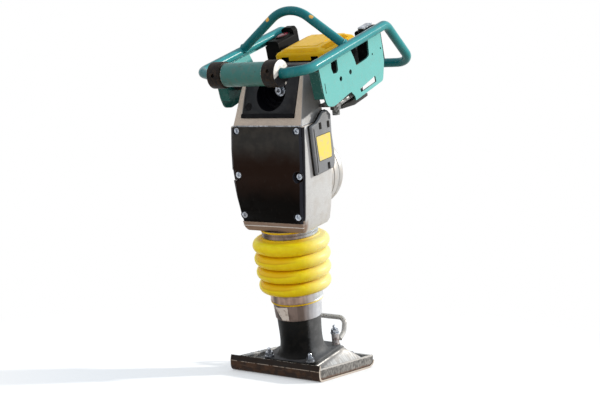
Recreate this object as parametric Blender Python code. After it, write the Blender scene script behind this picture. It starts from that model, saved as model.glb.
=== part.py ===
"""Battery tamping rammer: shoe, ram leg, bellows, crankcase, motor and isolated handle frame.

Sizes are millimetres in the code and metres in the scene.
World frame: origin at the centre of the sole, +Z up, -Y towards the machine's front.
Leg frame (x, t, s): s runs up the leg, which leans forward, and t runs to the rear.
Deck frame (x, u, v): u runs to the rear along the handle's side rails, v is square to them.
"""

import math

import bmesh
import bpy
from mathutils import Vector
from mathutils.geometry import tessellate_polygon

MM = 0.001
GAP = 0.3                     # clearance that touching pieces keep

# Stance
LEAN = math.radians(13.0)     # the leg leans forward from the vertical
LEG_FOOT_Y = 5.0              # where the leg's axis meets the ground
DECK_TILT = math.radians(8.85)  # the side rails rise to the rear, against the leg frame
DECK_S = 839.3                # height of the side rails' centre line above the leg's foot

# Tamping shoe
SHOE_HALF_WIDTH = 140.0
SHOE_HALF_LENGTH = 143.0
SOLE_THICKNESS = 5.0
LIP_TOP = 43.0
BLOCK_FLOOR = 22.0
BLOCK_RIM = 33.0
SADDLE_TOP = 43.0             # along the leg
FLANGE_TOP = 52.0
BOLT_PITCH = 65.0             # half the flange's bolt square

# Ram leg
LEG_RADIUS = 54.0
LEG_BORE = 46.3
LEG_FLOOR = 74.0
CASTING_TOP = 154.8
BAND_TOP = 199.5
SPIGOT_RADIUS = 63.0
SPIGOT_TOP = 229.0
LEG_TOP = 372.0
SEAT_LOW = 290.0              # ring in the leg that the upper spring pushes on
SEAT_HIGH = 297.0

# Bellows: four round lobes
LOBE_FIRST = 248.0
LOBE_PITCH = 37.0
LOBE_COUNT = 4
LOBE_RADIUS = 17.5
BELLOWS_RADII = (97.0, 100.0, 102.0, 103.0)
BELLOWS_TOP = 381.5

# Crankcase and drive
CASE_BOTTOM = 404.0
CASE_TOP = 679.0
FLANK_X = 115.6               # inner face of what lies on the crankcase's flank
CRANK_S = 598.5
MOTOR_S = 526.0
CRANK_THROW = 22.0
GEAR_TEETH = 40
PINION_TEETH = 10
TOOTH_MODULE = 2.9
GEAR_FRONT = 14.0
GEAR_BACK = 30.0
ROD_HALF = 8.0
ROD_EYE_S = 355.0
GUIDE_BORE = 40.0
MOTOR_RADIUS = 100.0

# Upper casing
UPPER_BOTTOM = 680.0
UPPER_TOP = 826.0
SLOPE = math.radians(24.5)    # the front face leans back
SLOPE_T = -19.6
SLOPE_S = 759.0

# Handle frame
RAIL_X = 165.0
RAIL_RADIUS = 13.0
BOW_RADIUS = 12.0
BOW_T = 104.0
PLATE_INNER = 157.0
PLATE_OUTER = 161.0
INSIDE = 156.6                # what the side plates carry ends here
BUFFER_T = 46.0
BUFFER_S = 779.0
ROLLER_U = -114.4
ROLLER_HALF = 62.5
COLLAR_END = 101.6
ROLLER_RADIUS = 30.0
COLLAR_RADIUS = 34.0

# Battery and controls, in the deck frame
BATTERY_FRONT = 129.5
BATTERY_REAR = 302.0
LID_HALF_WIDTH = 78.0
LID_BOTTOM = -44.0
CASE_FLOOR = -107.7
BUTTON_X = -131.0
BUTTON_U = 262.0
LATCH_X = 131.0
LATCH_U = 250.0
LATCH_V = 10.0


def clear_scene():
    for item in list(bpy.data.objects):
        bpy.data.objects.remove(item, do_unlink=True)


def finish(name, colour, roughness, metallic=0.0):
    """One Principled material."""
    made = bpy.data.materials.new(name)
    made.use_nodes = True
    shader = made.node_tree.nodes["Principled BSDF"]
    shader.inputs["Base Color"].default_value = (*colour, 1.0)
    shader.inputs["Roughness"].default_value = roughness
    shader.inputs["Metallic"].default_value = metallic
    return made


TEAL = (0.03, 0.33, 0.33)
CAST_GREY = (0.50, 0.49, 0.47)
SATIN_BLACK = (0.012, 0.013, 0.015)
STEEL = (0.42, 0.40, 0.38)
ZINC = (0.60, 0.63, 0.66)
YELLOW = (0.80, 0.62, 0.03)
AMBER = (0.78, 0.45, 0.02)


def empty(name, frame, at=(0.0, 0.0, 0.0), tilt=0.0):
    """An axis or frame that pieces are placed in; tilt turns it about X."""
    made = bpy.data.objects.new(name, None)
    bpy.context.collection.objects.link(made)
    made.parent = frame
    made.location = Vector(at) * MM
    made.rotation_euler.x = tilt
    return made


def link(name, bm, frame, at):
    """Turn a bmesh in millimetres into an object at a place in a frame."""
    bmesh.ops.recalc_face_normals(bm, faces=bm.faces)
    bmesh.ops.scale(bm, vec=(MM, MM, MM), verts=bm.verts)
    mesh = bpy.data.meshes.new(name)
    bm.to_mesh(mesh)
    bm.free()
    mesh.shade_smooth()
    mesh.set_sharp_from_angle(angle=math.radians(35.0))
    made = bpy.data.objects.new(name, mesh)
    bpy.context.collection.objects.link(made)
    made.parent = frame
    made.location = Vector(at) * MM
    return made


def piece(name, bm, frame, look, at=(0.0, 0.0, 0.0)):
    """One sub-part with its own material."""
    made = link(name, bm, frame, at)
    colour, roughness, metallic = look
    made.data.materials.append(finish(name + "_finish", colour, roughness, metallic))
    return made


def combine(target, tool_bm, frame, at=(0.0, 0.0, 0.0), operation="DIFFERENCE", turn=0.0):
    """Cut a shape from a piece, or join it on, with a hidden tool; turn is about X."""
    tool = link(target.name + "_tool", tool_bm, frame, at)
    tool.rotation_euler.x = turn
    tool.hide_render = True
    tool.display_type = "WIRE"
    step = target.modifiers.new("shape", "BOOLEAN")
    step.operation = operation
    step.solver = "EXACT"
    step.object = tool


AXES = {"x": (1, 2, 0), "t": (0, 2, 1), "s": (0, 1, 2)}


def turned(profile, axis="s", sides=32):
    """Turn a closed profile of (radius, height) points about an axis."""
    first, second, along = AXES[axis]
    bm = bmesh.new()
    rings = []
    for radius, height in profile:
        count = sides if radius > 1e-6 else 1
        ring = []
        for step in range(count):
            angle = 2.0 * math.pi * step / sides
            place = [0.0, 0.0, 0.0]
            place[first] = radius * math.cos(angle)
            place[second] = radius * math.sin(angle)
            place[along] = height
            ring.append(bm.verts.new(place))
        rings.append(ring)
    for low, high in zip(rings, rings[1:] + rings[:1]):
        join_rings(bm, low, high)
    return bm


def join_rings(bm, low, high):
    """Faces between two rings, either of which may be a single point."""
    if len(low) == 1 and len(high) == 1:
        return
    count = max(len(low), len(high))
    for step in range(count):
        after = (step + 1) % count
        corners = []
        if len(low) == 1:
            corners = [low[0], high[after], high[step]]
        elif len(high) == 1:
            corners = [low[step], low[after], high[0]]
        else:
            corners = [low[step], low[after], high[after], high[step]]
        bm.faces.new(corners)


def rod_shape(radius, low, high, axis="s", sides=24):
    return turned([(0, low), (radius, low), (radius, high), (0, high)], axis, sides)


def prism(outline, low, high, axis="x", holes=()):
    """Extrude an outline, with holes, along an axis. Points are on the other two axes in order."""
    first, second, along = AXES[axis]
    loops = [list(outline)] + [list(hole) for hole in holes]
    bm = bmesh.new()
    ends = []
    for height in (low, high):
        layer = []
        for loop in loops:
            ring = []
            for across, up in loop:
                place = [0.0, 0.0, 0.0]
                place[first] = across
                place[second] = up
                place[along] = height
                ring.append(bm.verts.new(place))
            layer.append(ring)
        ends.append(layer)
    flat = [[Vector((across, up, 0.0)) for across, up in loop] for loop in loops]
    triangles = tessellate_polygon(flat)
    for layer in ends:
        points = [vert for ring in layer for vert in ring]
        for corners in triangles:
            bm.faces.new([points[corner] for corner in corners])
    for below, above in zip(*ends):
        join_rings(bm, below, above)
    return bm


def block(low, high):
    """A box between two corners."""
    outline = [(low[0], low[1]), (high[0], low[1]), (high[0], high[1]), (low[0], high[1])]
    return prism(outline, low[2], high[2], "s")


def loft(rings):
    """Skin equal rings of (x, y, z) points and close both ends."""
    bm = bmesh.new()
    made = [[bm.verts.new(point) for point in ring] for ring in rings]
    for low, high in zip(made, made[1:]):
        join_rings(bm, low, high)
    bm.faces.new(made[0])
    bm.faces.new(made[-1])
    return bm


def fillet(points, radii, steps=4, closed=True):
    """Round the corners of a line of points (2-D or 3-D) with arcs."""
    corners = [Vector(point) for point in points]
    made = []
    last = len(corners) - 1
    for index, corner in enumerate(corners):
        radius = radii[index] if isinstance(radii, (list, tuple)) else radii
        if radius <= 0.0 or (not closed and index in (0, last)):
            made.append(corner.copy())
            continue
        to_last = (corners[index - 1] - corner).normalized()
        to_next = (corners[(index + 1) % len(corners)] - corner).normalized()
        half = to_last.angle(to_next) / 2.0
        reach = radius / math.tan(half)
        middle = corner + (to_last + to_next).normalized() * (radius / math.sin(half))
        start = corner + to_last * reach - middle
        end = corner + to_next * reach - middle
        sweep = start.angle(end)
        for step in range(steps + 1):
            share = step / steps
            before = math.sin((1.0 - share) * sweep)
            after = math.sin(share * sweep)
            made.append(middle + (start * before + end * after) / math.sin(sweep))
    return made


def rounded_box(half, low, high, front_radius, rear_radius, height, steps=4):
    """Plan section of a housing: x from -half to half, t from low to high."""
    corners = [(-half, low), (half, low), (half, high), (-half, high)]
    radii = [front_radius, front_radius, rear_radius, rear_radius]
    return [(point.x, point.y, height) for point in fillet(corners, radii, steps)]


def tube(path, radius, sides=12, closed=False):
    """A round bar or tube along a line of points, its rings turned with the least twist."""
    points = [Vector(point) for point in path]
    count = len(points)
    bm = bmesh.new()
    rings = []
    normal = None
    for index, point in enumerate(points):
        ahead = points[(index + 1) % count] if closed or index < count - 1 else point
        behind = points[index - 1] if closed or index > 0 else point
        along = ((ahead - point).normalized() + (point - behind).normalized()).normalized()
        if normal is None:
            normal = along.orthogonal().normalized()
        normal = (normal - along * normal.dot(along)).normalized()
        side = along.cross(normal)
        ring = []
        for step in range(sides):
            angle = 2.0 * math.pi * step / sides
            offset = normal * math.cos(angle) + side * math.sin(angle)
            ring.append(bm.verts.new(point + offset * radius))
        rings.append(ring)
    for low, high in zip(rings, rings[1:]):
        join_rings(bm, low, high)
    if closed:
        shift = nearest_step(rings[-1], rings[0][0])
        turned_ring = rings[-1][shift:] + rings[-1][:shift]
        join_rings(bm, turned_ring, rings[0])
    else:
        bm.faces.new(rings[0])
        bm.faces.new(rings[-1])
    return bm


def nearest_step(ring, vert):
    distances = [(other.co - vert.co).length for other in ring]
    return distances.index(min(distances))


def strip(line, thickness):
    """Closed outline of a sheet: a line of 2-D points and its copy set off to the left."""
    points = [Vector(point) for point in line]
    inner = []
    for index, point in enumerate(points):
        ahead = points[min(index + 1, len(points) - 1)]
        behind = points[max(index - 1, 0)]
        before = (point - behind).normalized() if index > 0 else (ahead - point).normalized()
        after = (ahead - point).normalized() if index < len(points) - 1 else before
        bisector = (before + after).normalized()
        normal = Vector((-bisector.y, bisector.x))
        stretch = 1.0 / max(0.5, bisector.dot(after))
        inner.append(point + normal * thickness * stretch)
    return [tuple(point) for point in points], [tuple(point) for point in inner]


def mirrored(points):
    return [(-point[0], *point[1:]) for point in reversed(points)]


def gear_outline(teeth, centre_angle):
    """Straight-flanked stub teeth with running backlash, as (across, up) points."""
    pitch = TOOTH_MODULE * teeth / 2.0
    root = pitch - 1.05 * TOOTH_MODULE
    tip = pitch + 0.75 * TOOTH_MODULE
    turn = 2.0 * math.pi / teeth
    outline = []
    for tooth in range(teeth):
        middle = centre_angle + tooth * turn
        flank = ((root, -0.30), (tip, -0.14), (tip, 0.14), (root, 0.30))
        for radius, share in flank:
            angle = middle + share * turn
            outline.append((radius * math.cos(angle), radius * math.sin(angle)))
    return outline


def hex_stack(levels, sides=12):
    """Round and six-sided steps on one axis: levels of (radius, height, six_sided)."""
    rings = []
    for radius, height, six_sided in levels:
        ring = []
        for step in range(sides):
            angle = 2.0 * math.pi * step / sides
            flat = radius * math.cos(math.pi / 6.0) if six_sided and step % 2 else radius
            ring.append((flat * math.cos(angle), flat * math.sin(angle), height))
        rings.append(ring)
    return loft(rings)


def leg_to_world(t, s):
    across = LEG_FOOT_Y + t * math.cos(LEAN) - s * math.sin(LEAN)
    up = t * math.sin(LEAN) + s * math.cos(LEAN)
    return across, up


def build_shoe(ground):
    """Steel sole turned up at toe and heel, the damping block on it and the cast saddle."""
    heel = [(SHOE_HALF_LENGTH, 18.0), (SHOE_HALF_LENGTH - 5.0, 8.0), (SHOE_HALF_LENGTH - 24.0, 0.0)]
    toe = [(-132.0, 0.0), (-140.0, 3.5), (-145.0, 13.0), (-147.0, 28.0), (-144.0, LIP_TOP)]
    outer, inner = strip(list(reversed(heel + toe)), SOLE_THICKNESS)
    sole = prism(outer + inner[::-1], -SHOE_HALF_WIDTH, SHOE_HALF_WIDTH, "x")
    plate = piece("shoe_plate", sole, ground, ((0.10, 0.065, 0.045), 0.55, 0.8))
    notch = prism([(97.0, -1.0), (104.0, -1.0), (100.0, 4.0)], -150.0, -128.0, "t")
    combine(plate, notch, ground)

    bed = strip(list(reversed(heel + toe)), SOLE_THICKNESS + GAP)[1]
    bed = [point for point in bed if point[1] < BLOCK_RIM - 3.0]
    outline = bed + [(SHOE_HALF_LENGTH - 4.0, BLOCK_RIM), (bed[0][0] + 2.5, BLOCK_RIM)]
    width = SHOE_HALF_WIDTH - 1.5
    damper = piece("shoe_block", prism(outline, -width, width, "x"), ground,
                   ((0.13, 0.13, 0.13), 0.9, 0.0))
    well = block((-width + 9.0, -160.0, BLOCK_FLOOR), (width - 9.0, SHOE_HALF_LENGTH - 12.0, 60.0))
    combine(damper, well, ground)

    base = BLOCK_FLOOR + GAP
    front_y, front_z = leg_to_world(-80.0, SADDLE_TOP)
    rear_y, rear_z = leg_to_world(84.0, SADDLE_TOP)
    foot = fillet([(-94.0, -96.0), (94.0, -96.0), (122.0, 128.0), (-122.0, 128.0)], 14.0, 3)
    crown = fillet([(-80.0, front_y), (80.0, front_y), (82.0, rear_y), (-82.0, rear_y)], 12.0, 3)
    rise = (rear_z - front_z) / (rear_y - front_y)
    top = [(point.x, point.y, front_z + rise * (point.y - front_y)) for point in crown]
    shoulder = [(point.x * 1.03, point.y * 1.02, front_z + rise * (point.y - front_y) - 4.0)
                for point in crown]
    shoulder = [(x, y, max(z, base + 0.4)) for x, y, z in shoulder]
    skin = loft([[(point.x, point.y, base) for point in foot], shoulder, top])
    piece("shoe_saddle", skin, ground, ((0.34, 0.34, 0.34), 0.42, 0.6))


def build_leg(leg):
    """Black foot casting, steel leg tube, band, springs and the flange's bolts."""
    def ring(half, height, power):
        """A round ring at power 2, and a rounded square at a high power."""
        made = []
        for angle in arc_angles(0.0, 350.0, 35):
            spread = abs(math.cos(angle)) ** power + abs(math.sin(angle)) ** power
            radius = half / spread ** (1.0 / power)
            made.append((radius * math.cos(angle), radius * math.sin(angle), height))
        return made

    flange = [(81.0, SADDLE_TOP + GAP, 9.0), (81.0, FLANGE_TOP, 9.0)]
    neck = [(70.0, FLANGE_TOP + 0.2, 2.0), (64.0, 58.0, 2.0), (59.5, 70.0, 2.0), (57.5, 88.0, 2.0),
            (57.5, 112.0, 2.0), (59.5, CASTING_TOP, 2.0)]
    bore = [(LEG_BORE - 0.3, CASTING_TOP, 2.0), (LEG_BORE - 0.3, LEG_FLOOR, 2.0)]
    rings = [ring(*level) for level in flange + neck + bore]
    piece("leg_foot", loft(rings), leg, (SATIN_BLACK, 0.5, 0.0))

    wall = [(LEG_RADIUS, CASTING_TOP + GAP), (LEG_RADIUS, LEG_TOP), (LEG_BORE, LEG_TOP),
            (LEG_BORE, SEAT_HIGH), (17.0, SEAT_HIGH), (17.0, SEAT_LOW), (LEG_BORE, SEAT_LOW),
            (LEG_BORE, CASTING_TOP + GAP)]
    piece("leg_tube", turned(wall, sides=20), leg, (STEEL, 0.3, 1.0))

    band = [(LEG_RADIUS + GAP, CASTING_TOP + 0.4), (62.5, CASTING_TOP + 0.4), (66.0, BAND_TOP),
            (SPIGOT_RADIUS, BAND_TOP + 0.1), (SPIGOT_RADIUS, SPIGOT_TOP),
            (LEG_RADIUS + GAP, SPIGOT_TOP)]
    piece("leg_band", turned(band, sides=36), leg, (STEEL, 0.45, 0.9))

    strap = [(66.9, 204.4), (70.5, 204.4), (71.0, 205.4), (71.0, 226.4), (70.5, 227.4), (66.9, 227.4)]
    piece("bellows_clamp", turned(strap, sides=30), leg, (ZINC, 0.35, 1.0))

    for end, t in (("front", -BOLT_PITCH), ("rear", BOLT_PITCH + 3.0)):
        for side, x in (("left", -BOLT_PITCH), ("right", BOLT_PITCH)):
            seat = FLANGE_TOP + GAP
            lift = 31.0 if end == "rear" else 0.0
            levels = [(12.0, seat, False), (12.0, seat + 3.0 + lift, False),
                      (10.4, seat + 3.2 + lift, True), (10.4, seat + 12.0 + lift, True),
                      (5.0, seat + 12.2 + lift, False), (5.0, seat + 23.0 + lift, False)]
            piece("flange_bolt_" + end + "_" + side, hex_stack(levels), leg, (ZINC, 0.3, 1.0),
                  (x, t, 0.0))

    half = [(66.0, 88.0, 60.0), (67.0, 112.0, 72.0), (67.0, 124.0, 108.0)]
    line = fillet(half + mirrored(half), 18.0, 4, closed=False)
    piece("foot_loop", tube(line, 7.0, 8), leg, ((0.36, 0.37, 0.36), 0.4, 0.7))

    for name, low, high in (("ram_spring_lower", LEG_FLOOR, 180.0), ("ram_spring_upper", 188.0, SEAT_LOW)):
        piece(name, spring(low + GAP, high - GAP), leg, ((0.2, 0.2, 0.22), 0.35, 1.0))


def spring(low, high, turns=4, coil=35.0, wire=4.5, steps=9):
    """One unbroken helix; its turns clear each other by the pitch less the wire."""
    start = low + wire + 0.2
    rise = high - low - 2.0 * wire - 0.4
    pitch = rise / turns
    assert pitch - 2.0 * wire > 0.4
    line = []
    for step in range(turns * steps + 1):
        angle = 2.0 * math.pi * step / steps
        share = step / (turns * steps)
        line.append((coil * math.cos(angle), coil * math.sin(angle), start + rise * share))
    return tube(line, wire, 6)


def build_bellows(leg):
    """Moulded bellows: round lobes from a formula, a bead at the hem and its open bore."""
    outer = [(70.0, BAND_TOP + GAP), (70.0, BAND_TOP + 3.5), (66.5, BAND_TOP + 4.2), (66.5, SPIGOT_TOP)]
    for lobe in range(LOBE_COUNT):
        middle = LOBE_FIRST + lobe * LOBE_PITCH
        centre = BELLOWS_RADII[lobe] - LOBE_RADIUS
        for step in range(7):
            angle = math.radians(-84.0 + 28.0 * step)
            outer.append((centre + LOBE_RADIUS * math.cos(angle), middle + LOBE_RADIUS * math.sin(angle)))
    outer += [(79.0, BELLOWS_TOP - 2.5), (79.0, BELLOWS_TOP)]
    bore = [(70.4, BELLOWS_TOP), (70.4, 365.0), (79.0, 358.0), (75.0, 240.0),
            (SPIGOT_RADIUS + GAP, 232.0), (SPIGOT_RADIUS + GAP, BAND_TOP + GAP)]
    piece("bellows", turned(outer + bore, sides=32), leg, (YELLOW, 0.45, 0.0))

    collar = [(58.0, 367.0), (70.0, 367.0), (70.0, 382.0), (75.0, 382.2), (75.0, CASE_BOTTOM - GAP),
              (58.0, CASE_BOTTOM - GAP)]
    piece("bellows_collar", turned(collar, sides=28), leg, (STEEL, 0.35, 0.9))


# Front rim of the crankcase, and the cover on it: (s, half width, t)
CASE_LEVELS = ((404.0, 87.5, -65.0), (414.0, 93.0, -70.0), (449.0, 101.0, -71.0), (495.0, 107.8, -73.0),
               (554.0, 113.7, -72.5), (619.0, 115.0, -64.5), (679.0, 113.8, -55.4))
COVER_LEVELS = ((431.0, 92.0, -77.0), (449.0, 95.5, -80.5), (473.0, 98.5, -82.0), (509.0, 102.2, -82.0),
                (553.0, 106.0, -79.0), (583.0, 107.7, -76.0), (620.0, 107.7, -71.0), (678.5, 105.0, -61.5))

# Cover screws: x, s, radius of the pocket and its floor
COVER_SCREWS = {"top": (92.2, 668.4, 9.8, -53.5), "middle": (94.4, 553.5, 15.0, -64.5),
                "low": (83.2, 449.0, 11.5, -73.0)}


def front_at(levels, s):
    """Where a front face is at a height, between the levels given for it."""
    for (low, _, near), (high, _, far) in zip(levels, levels[1:]):
        if s <= high:
            return near + (far - near) * (s - low) / (high - low)
    return levels[-1][2]


def build_crankcase(leg):
    """Cast crankcase, open at the front, with the leg's, crank's and motor's openings."""
    rings = []
    for s, half, front in CASE_LEVELS:
        rear = 56.0 if s == CASE_BOTTOM else 61.5
        rings.append(rounded_box(half, front, rear, 5.0, 7.0, s))
    housing = piece("crankcase", loft(rings), leg, (CAST_GREY, 0.5, 0.7))
    inside = ((CASE_BOTTOM + 8.0, 84.0, 51.0), (449.0, 93.0, 50.0), (554.0, 105.0, 50.0),
              (CASE_TOP - 9.0, 106.0, 50.0))
    cavity = [rounded_box(half, -100.0, rear, 2.0, 14.0, s, 2) for s, half, rear in inside]
    combine(housing, loft(cavity), leg)
    combine(housing, rod_shape(46.2, 390.0, 420.0, "s", 28), leg)
    combine(housing, rod_shape(20.0, 40.0, 80.0, "t"), leg, (0.0, 0.0, MOTOR_S))
    combine(housing, rod_shape(22.0, 40.0, 80.0, "t"), leg, (0.0, 0.0, CRANK_S))
    for x, s, radius, floor in COVER_SCREWS.values():
        for place in (-x, x):
            combine(housing, rod_shape(radius + 1.4, -130.0, floor + 3.2, "t", 14), leg, (place, 0.0, s))


def cover_skin(inset, depth):
    """Sections of the dished front cover, chamfered along its flanks."""
    bottom = COVER_LEVELS[0][0]
    span = COVER_LEVELS[-1][0] - bottom
    rings = []
    for s, half, front in COVER_LEVELS:
        low = bottom + inset + (s - bottom) * (span - 2.0 * inset) / span
        back = front_at(CASE_LEVELS, low) - 0.9 + depth
        half -= inset
        front += inset
        slant = min(6.0, (back - front) * 0.7)
        rings.append([(-half, back, low), (-half, front + slant, low), (-half + 5.0, front, low),
                      (half - 5.0, front, low), (half, front + slant, low), (half, back, low)])
    return loft(rings)


def build_front_cover(leg):
    """Black front cover; six screws sit in pockets that reach into the crankcase's rim."""
    cover = piece("front_cover", cover_skin(0.0, 0.0), leg, (SATIN_BLACK, 0.42, 0.0))
    combine(cover, cover_skin(5.0, 12.0), leg)
    for level, (x, s, radius, floor) in COVER_SCREWS.items():
        for side, place in (("left", -x), ("right", x)):
            at = (place, 0.0, s)
            boss = rod_shape(radius + 0.9, front_at(COVER_LEVELS, s) + 3.0, floor + 2.6, "t", 14)
            combine(cover, boss, leg, at, "UNION")
            combine(cover, rod_shape(radius, -130.0, floor, "t", 18), leg, at)
            head = [(0, floor - GAP), (8.8, floor - GAP), (8.8, floor - 5.2), (8.0, floor - 6.0),
                    (4.4, floor - 6.0), (4.4, floor - 2.5), (0, floor - 2.5)]
            piece("cover_screw_" + level + "_" + side, turned(head, "t", 12), leg, (ZINC, 0.3, 1.0), at)


def build_upper_casing(leg, slope):
    """Cast upper casing with a black inset whose stepped well holds the buffer bolt."""
    levels = ((UPPER_BOTTOM, 106.5, -55.5, 64.0), (705.0, 103.5, -44.0, 63.0), (750.0, 98.5, -24.0, 61.0),
              (UPPER_TOP, 89.0, 10.8, 58.0))
    rings = [rounded_box(half, front, rear, 5.0, 14.0, s) for s, half, front, rear in levels]
    casing = piece("upper_casing", loft(rings), leg, (CAST_GREY, 0.5, 0.7))
    combine(casing, block((-81.5, -20.0, -65.5), (81.5, 8.0, 56.0)), slope)
    well = (0.0, 0.0, SLOPE_S)
    combine(casing, rod_shape(49.0, -80.0, 34.0, "t", 32), leg, well)

    panel = piece("front_panel", block((-79.0, -8.0, -54.5), (79.0, 7.4, 54.0)), slope,
                  (SATIN_BLACK, 0.5, 0.0))
    combine(panel, rod_shape(48.0, -60.0, 33.0, "t", 32), leg, well, "UNION")
    combine(panel, block((-90.0, -90.0, -75.0), (90.0, 1.2, 75.0)), slope)
    for radius, depth in ((44.0, 5.0), (36.0, 15.0), (28.0, 27.0)):
        combine(panel, rod_shape(radius, -90.0, depth, "t", 32), leg, well)
    combine(panel, rod_shape(10.5, -5.0, 4.5, "t", 16), slope, (-64.0, 0.0, -35.0))
    bolt = [(0, 26.7), (15.5, 26.7), (15.5, 23.7), (9.5, 23.2), (9.5, 15.2), (4.6, 15.2), (4.6, 21.0),
            (0, 21.0)]
    piece("panel_bolt", turned(bolt, "t", 18), leg, (ZINC, 0.3, 1.0), well)


def build_side_cover(leg):
    """Grey plastic cover on the right flank over its black gasket."""
    outline = [(-37.0, 547.5), (50.0, 551.0), (56.0, 560.0), (59.0, 586.0), (54.0, 642.0), (57.0, 694.0),
               (44.0, 705.5), (22.0, 706.0), (0.0, 690.0), (-14.0, 682.0), (-43.0, 677.0), (-41.0, 612.0)]
    inner = fillet(outline, 3.0, 2)
    shrunk = [((point.x - 8.0) * 0.97 + 8.0, (point.y - 625.0) * 0.98 + 625.0) for point in inner]
    gasket = prism([tuple(point) for point in inner], FLANK_X, FLANK_X + 3.0, "x")
    piece("side_cover_gasket", gasket, leg, ((0.01, 0.01, 0.01), 0.8, 0.0))
    rings = []
    for x, scale in ((FLANK_X + GAP + 3.0, 1.0), (124.5, 1.0), (127.0, 0.97)):
        rings.append([(x, 8.0 + (t - 8.0) * scale, 625.0 + (s - 625.0) * scale) for t, s in shrunk])
    piece("side_cover", loft(rings), leg, ((0.23, 0.24, 0.27), 0.55, 0.0))


def build_motor(leg, rotor_axis):
    """Ribbed motor drum behind the crankcase, its stator, end cap and the rotor with its pinion."""
    centre = (0.0, 0.0, MOTOR_S)
    drum = [(30.0, 62.3), (MOTOR_RADIUS - 2.0, 62.3), (MOTOR_RADIUS, 65.0), (MOTOR_RADIUS, 86.0),
            (MOTOR_RADIUS - 3.0, 88.0), (MOTOR_RADIUS - 3.0, 91.0), (MOTOR_RADIUS, 93.0),
            (MOTOR_RADIUS, 112.0), (MOTOR_RADIUS - 3.0, 115.0), (81.0, 115.0), (81.0, 71.0), (30.0, 71.0)]
    piece("motor_housing", turned(drum, "t", 28), leg, (CAST_GREY, 0.4, 0.8), centre)
    cap = [(0, 144.0), (86.0, 144.0), (96.0, 140.0), (MOTOR_RADIUS, 132.0), (MOTOR_RADIUS, 119.0),
           (MOTOR_RADIUS - 3.0, 115.6), (79.0, 115.6), (79.0, 135.0), (14.0, 135.0), (14.0, 140.0),
           (0, 140.0)]
    piece("motor_end_cap", turned(cap, "t", 28), leg, (CAST_GREY, 0.4, 0.8), centre)
    stator = [(46.0, 74.0), (80.6, 74.0), (80.6, 113.0), (46.0, 113.0)]
    piece("motor_stator", turned(stator, "t", 28), leg, ((0.25, 0.12, 0.05), 0.5, 0.6), centre)
    pinion = prism(gear_outline(PINION_TEETH, math.pi / 2.0 + math.pi / PINION_TEETH), GEAR_FRONT - 1.0,
                   GEAR_BACK + 1.0, "t")
    rotor = piece("rotor", pinion, rotor_axis, (STEEL, 0.3, 1.0))
    shaft = [(0, GEAR_BACK - 4.0), (9.0, GEAR_BACK - 4.0), (9.0, 76.0), (45.0, 76.0), (45.0, 111.0),
             (9.0, 111.0), (9.0, 138.0), (0, 138.0)]
    combine(rotor, turned(shaft, "t", 20), rotor_axis, operation="UNION")


def build_crank(leg, crank_axis, pin_axis):
    """Crank gear with its pin, the bearing it turns in and the connecting rod."""
    wheel = prism(gear_outline(GEAR_TEETH, -math.pi / 2.0), GEAR_FRONT, GEAR_BACK, "t")
    gear = piece("crank_gear", wheel, crank_axis, (STEEL, 0.35, 1.0))
    combine(gear, rod_shape(12.0, GEAR_BACK - 4.0, 62.0, "t"), crank_axis, operation="UNION")
    combine(gear, rod_shape(10.0, -13.0, GEAR_FRONT + 4.0, "t"), crank_axis, (0.0, 0.0, -CRANK_THROW),
            "UNION")
    race = [(12.4, 50.5), (21.6, 50.5), (21.6, 61.5), (12.4, 61.5)]
    piece("crank_bearing", turned(race, "t", 24), leg, (ZINC, 0.2, 1.0), (0.0, 0.0, CRANK_S))

    reach = CRANK_S - CRANK_THROW - ROD_EYE_S
    big_end = [(18.0 * math.cos(a), 18.0 * math.sin(a)) for a in arc_angles(-50.0, 230.0, 14)]
    small_end = [(11.0 * math.cos(a), 11.0 * math.sin(a) - reach) for a in arc_angles(140.0, 400.0, 10)]
    eye = [(10.35 * math.cos(a), 10.35 * math.sin(a)) for a in arc_angles(0.0, 345.0, 23)]
    pin_hole = [(6.4 * math.cos(a), 6.4 * math.sin(a) - reach) for a in arc_angles(0.0, 337.5, 15)]
    rod = prism(big_end + small_end, -ROD_HALF, ROD_HALF, "t", (eye, pin_hole))
    piece("connecting_rod", rod, pin_axis, (STEEL, 0.35, 1.0))
    piece("wrist_pin", rod_shape(6.0, -14.0, 14.0, "t", 16), pin_axis, (ZINC, 0.2, 1.0),
          (0.0, 0.0, -reach))


def arc_angles(start, end, steps):
    return [math.radians(start + (end - start) * step / steps) for step in range(steps + 1)]


def build_ram(leg):
    """Guide cylinder under the crankcase and the piston whose plate sits between the springs."""
    guide = [(GUIDE_BORE, 330.0), (45.5, 330.0), (45.5, CASE_BOTTOM + 8.3), (49.0, CASE_BOTTOM + 8.3),
             (49.0, CASE_BOTTOM + 14.0), (GUIDE_BORE, CASE_BOTTOM + 14.0)]
    piece("guide_cylinder", turned(guide, sides=24), leg, (STEEL, 0.25, 1.0))
    piston = [(0, 180.3), (44.0, 180.3), (44.0, 187.7), (12.0, 187.7), (12.0, 335.0), (39.5, 335.0),
              (39.5, 395.0), (35.0, 395.0), (35.0, 343.0), (0, 343.0)]
    piece("guide_piston", turned(piston, sides=20), leg, (STEEL, 0.25, 1.0))


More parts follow.
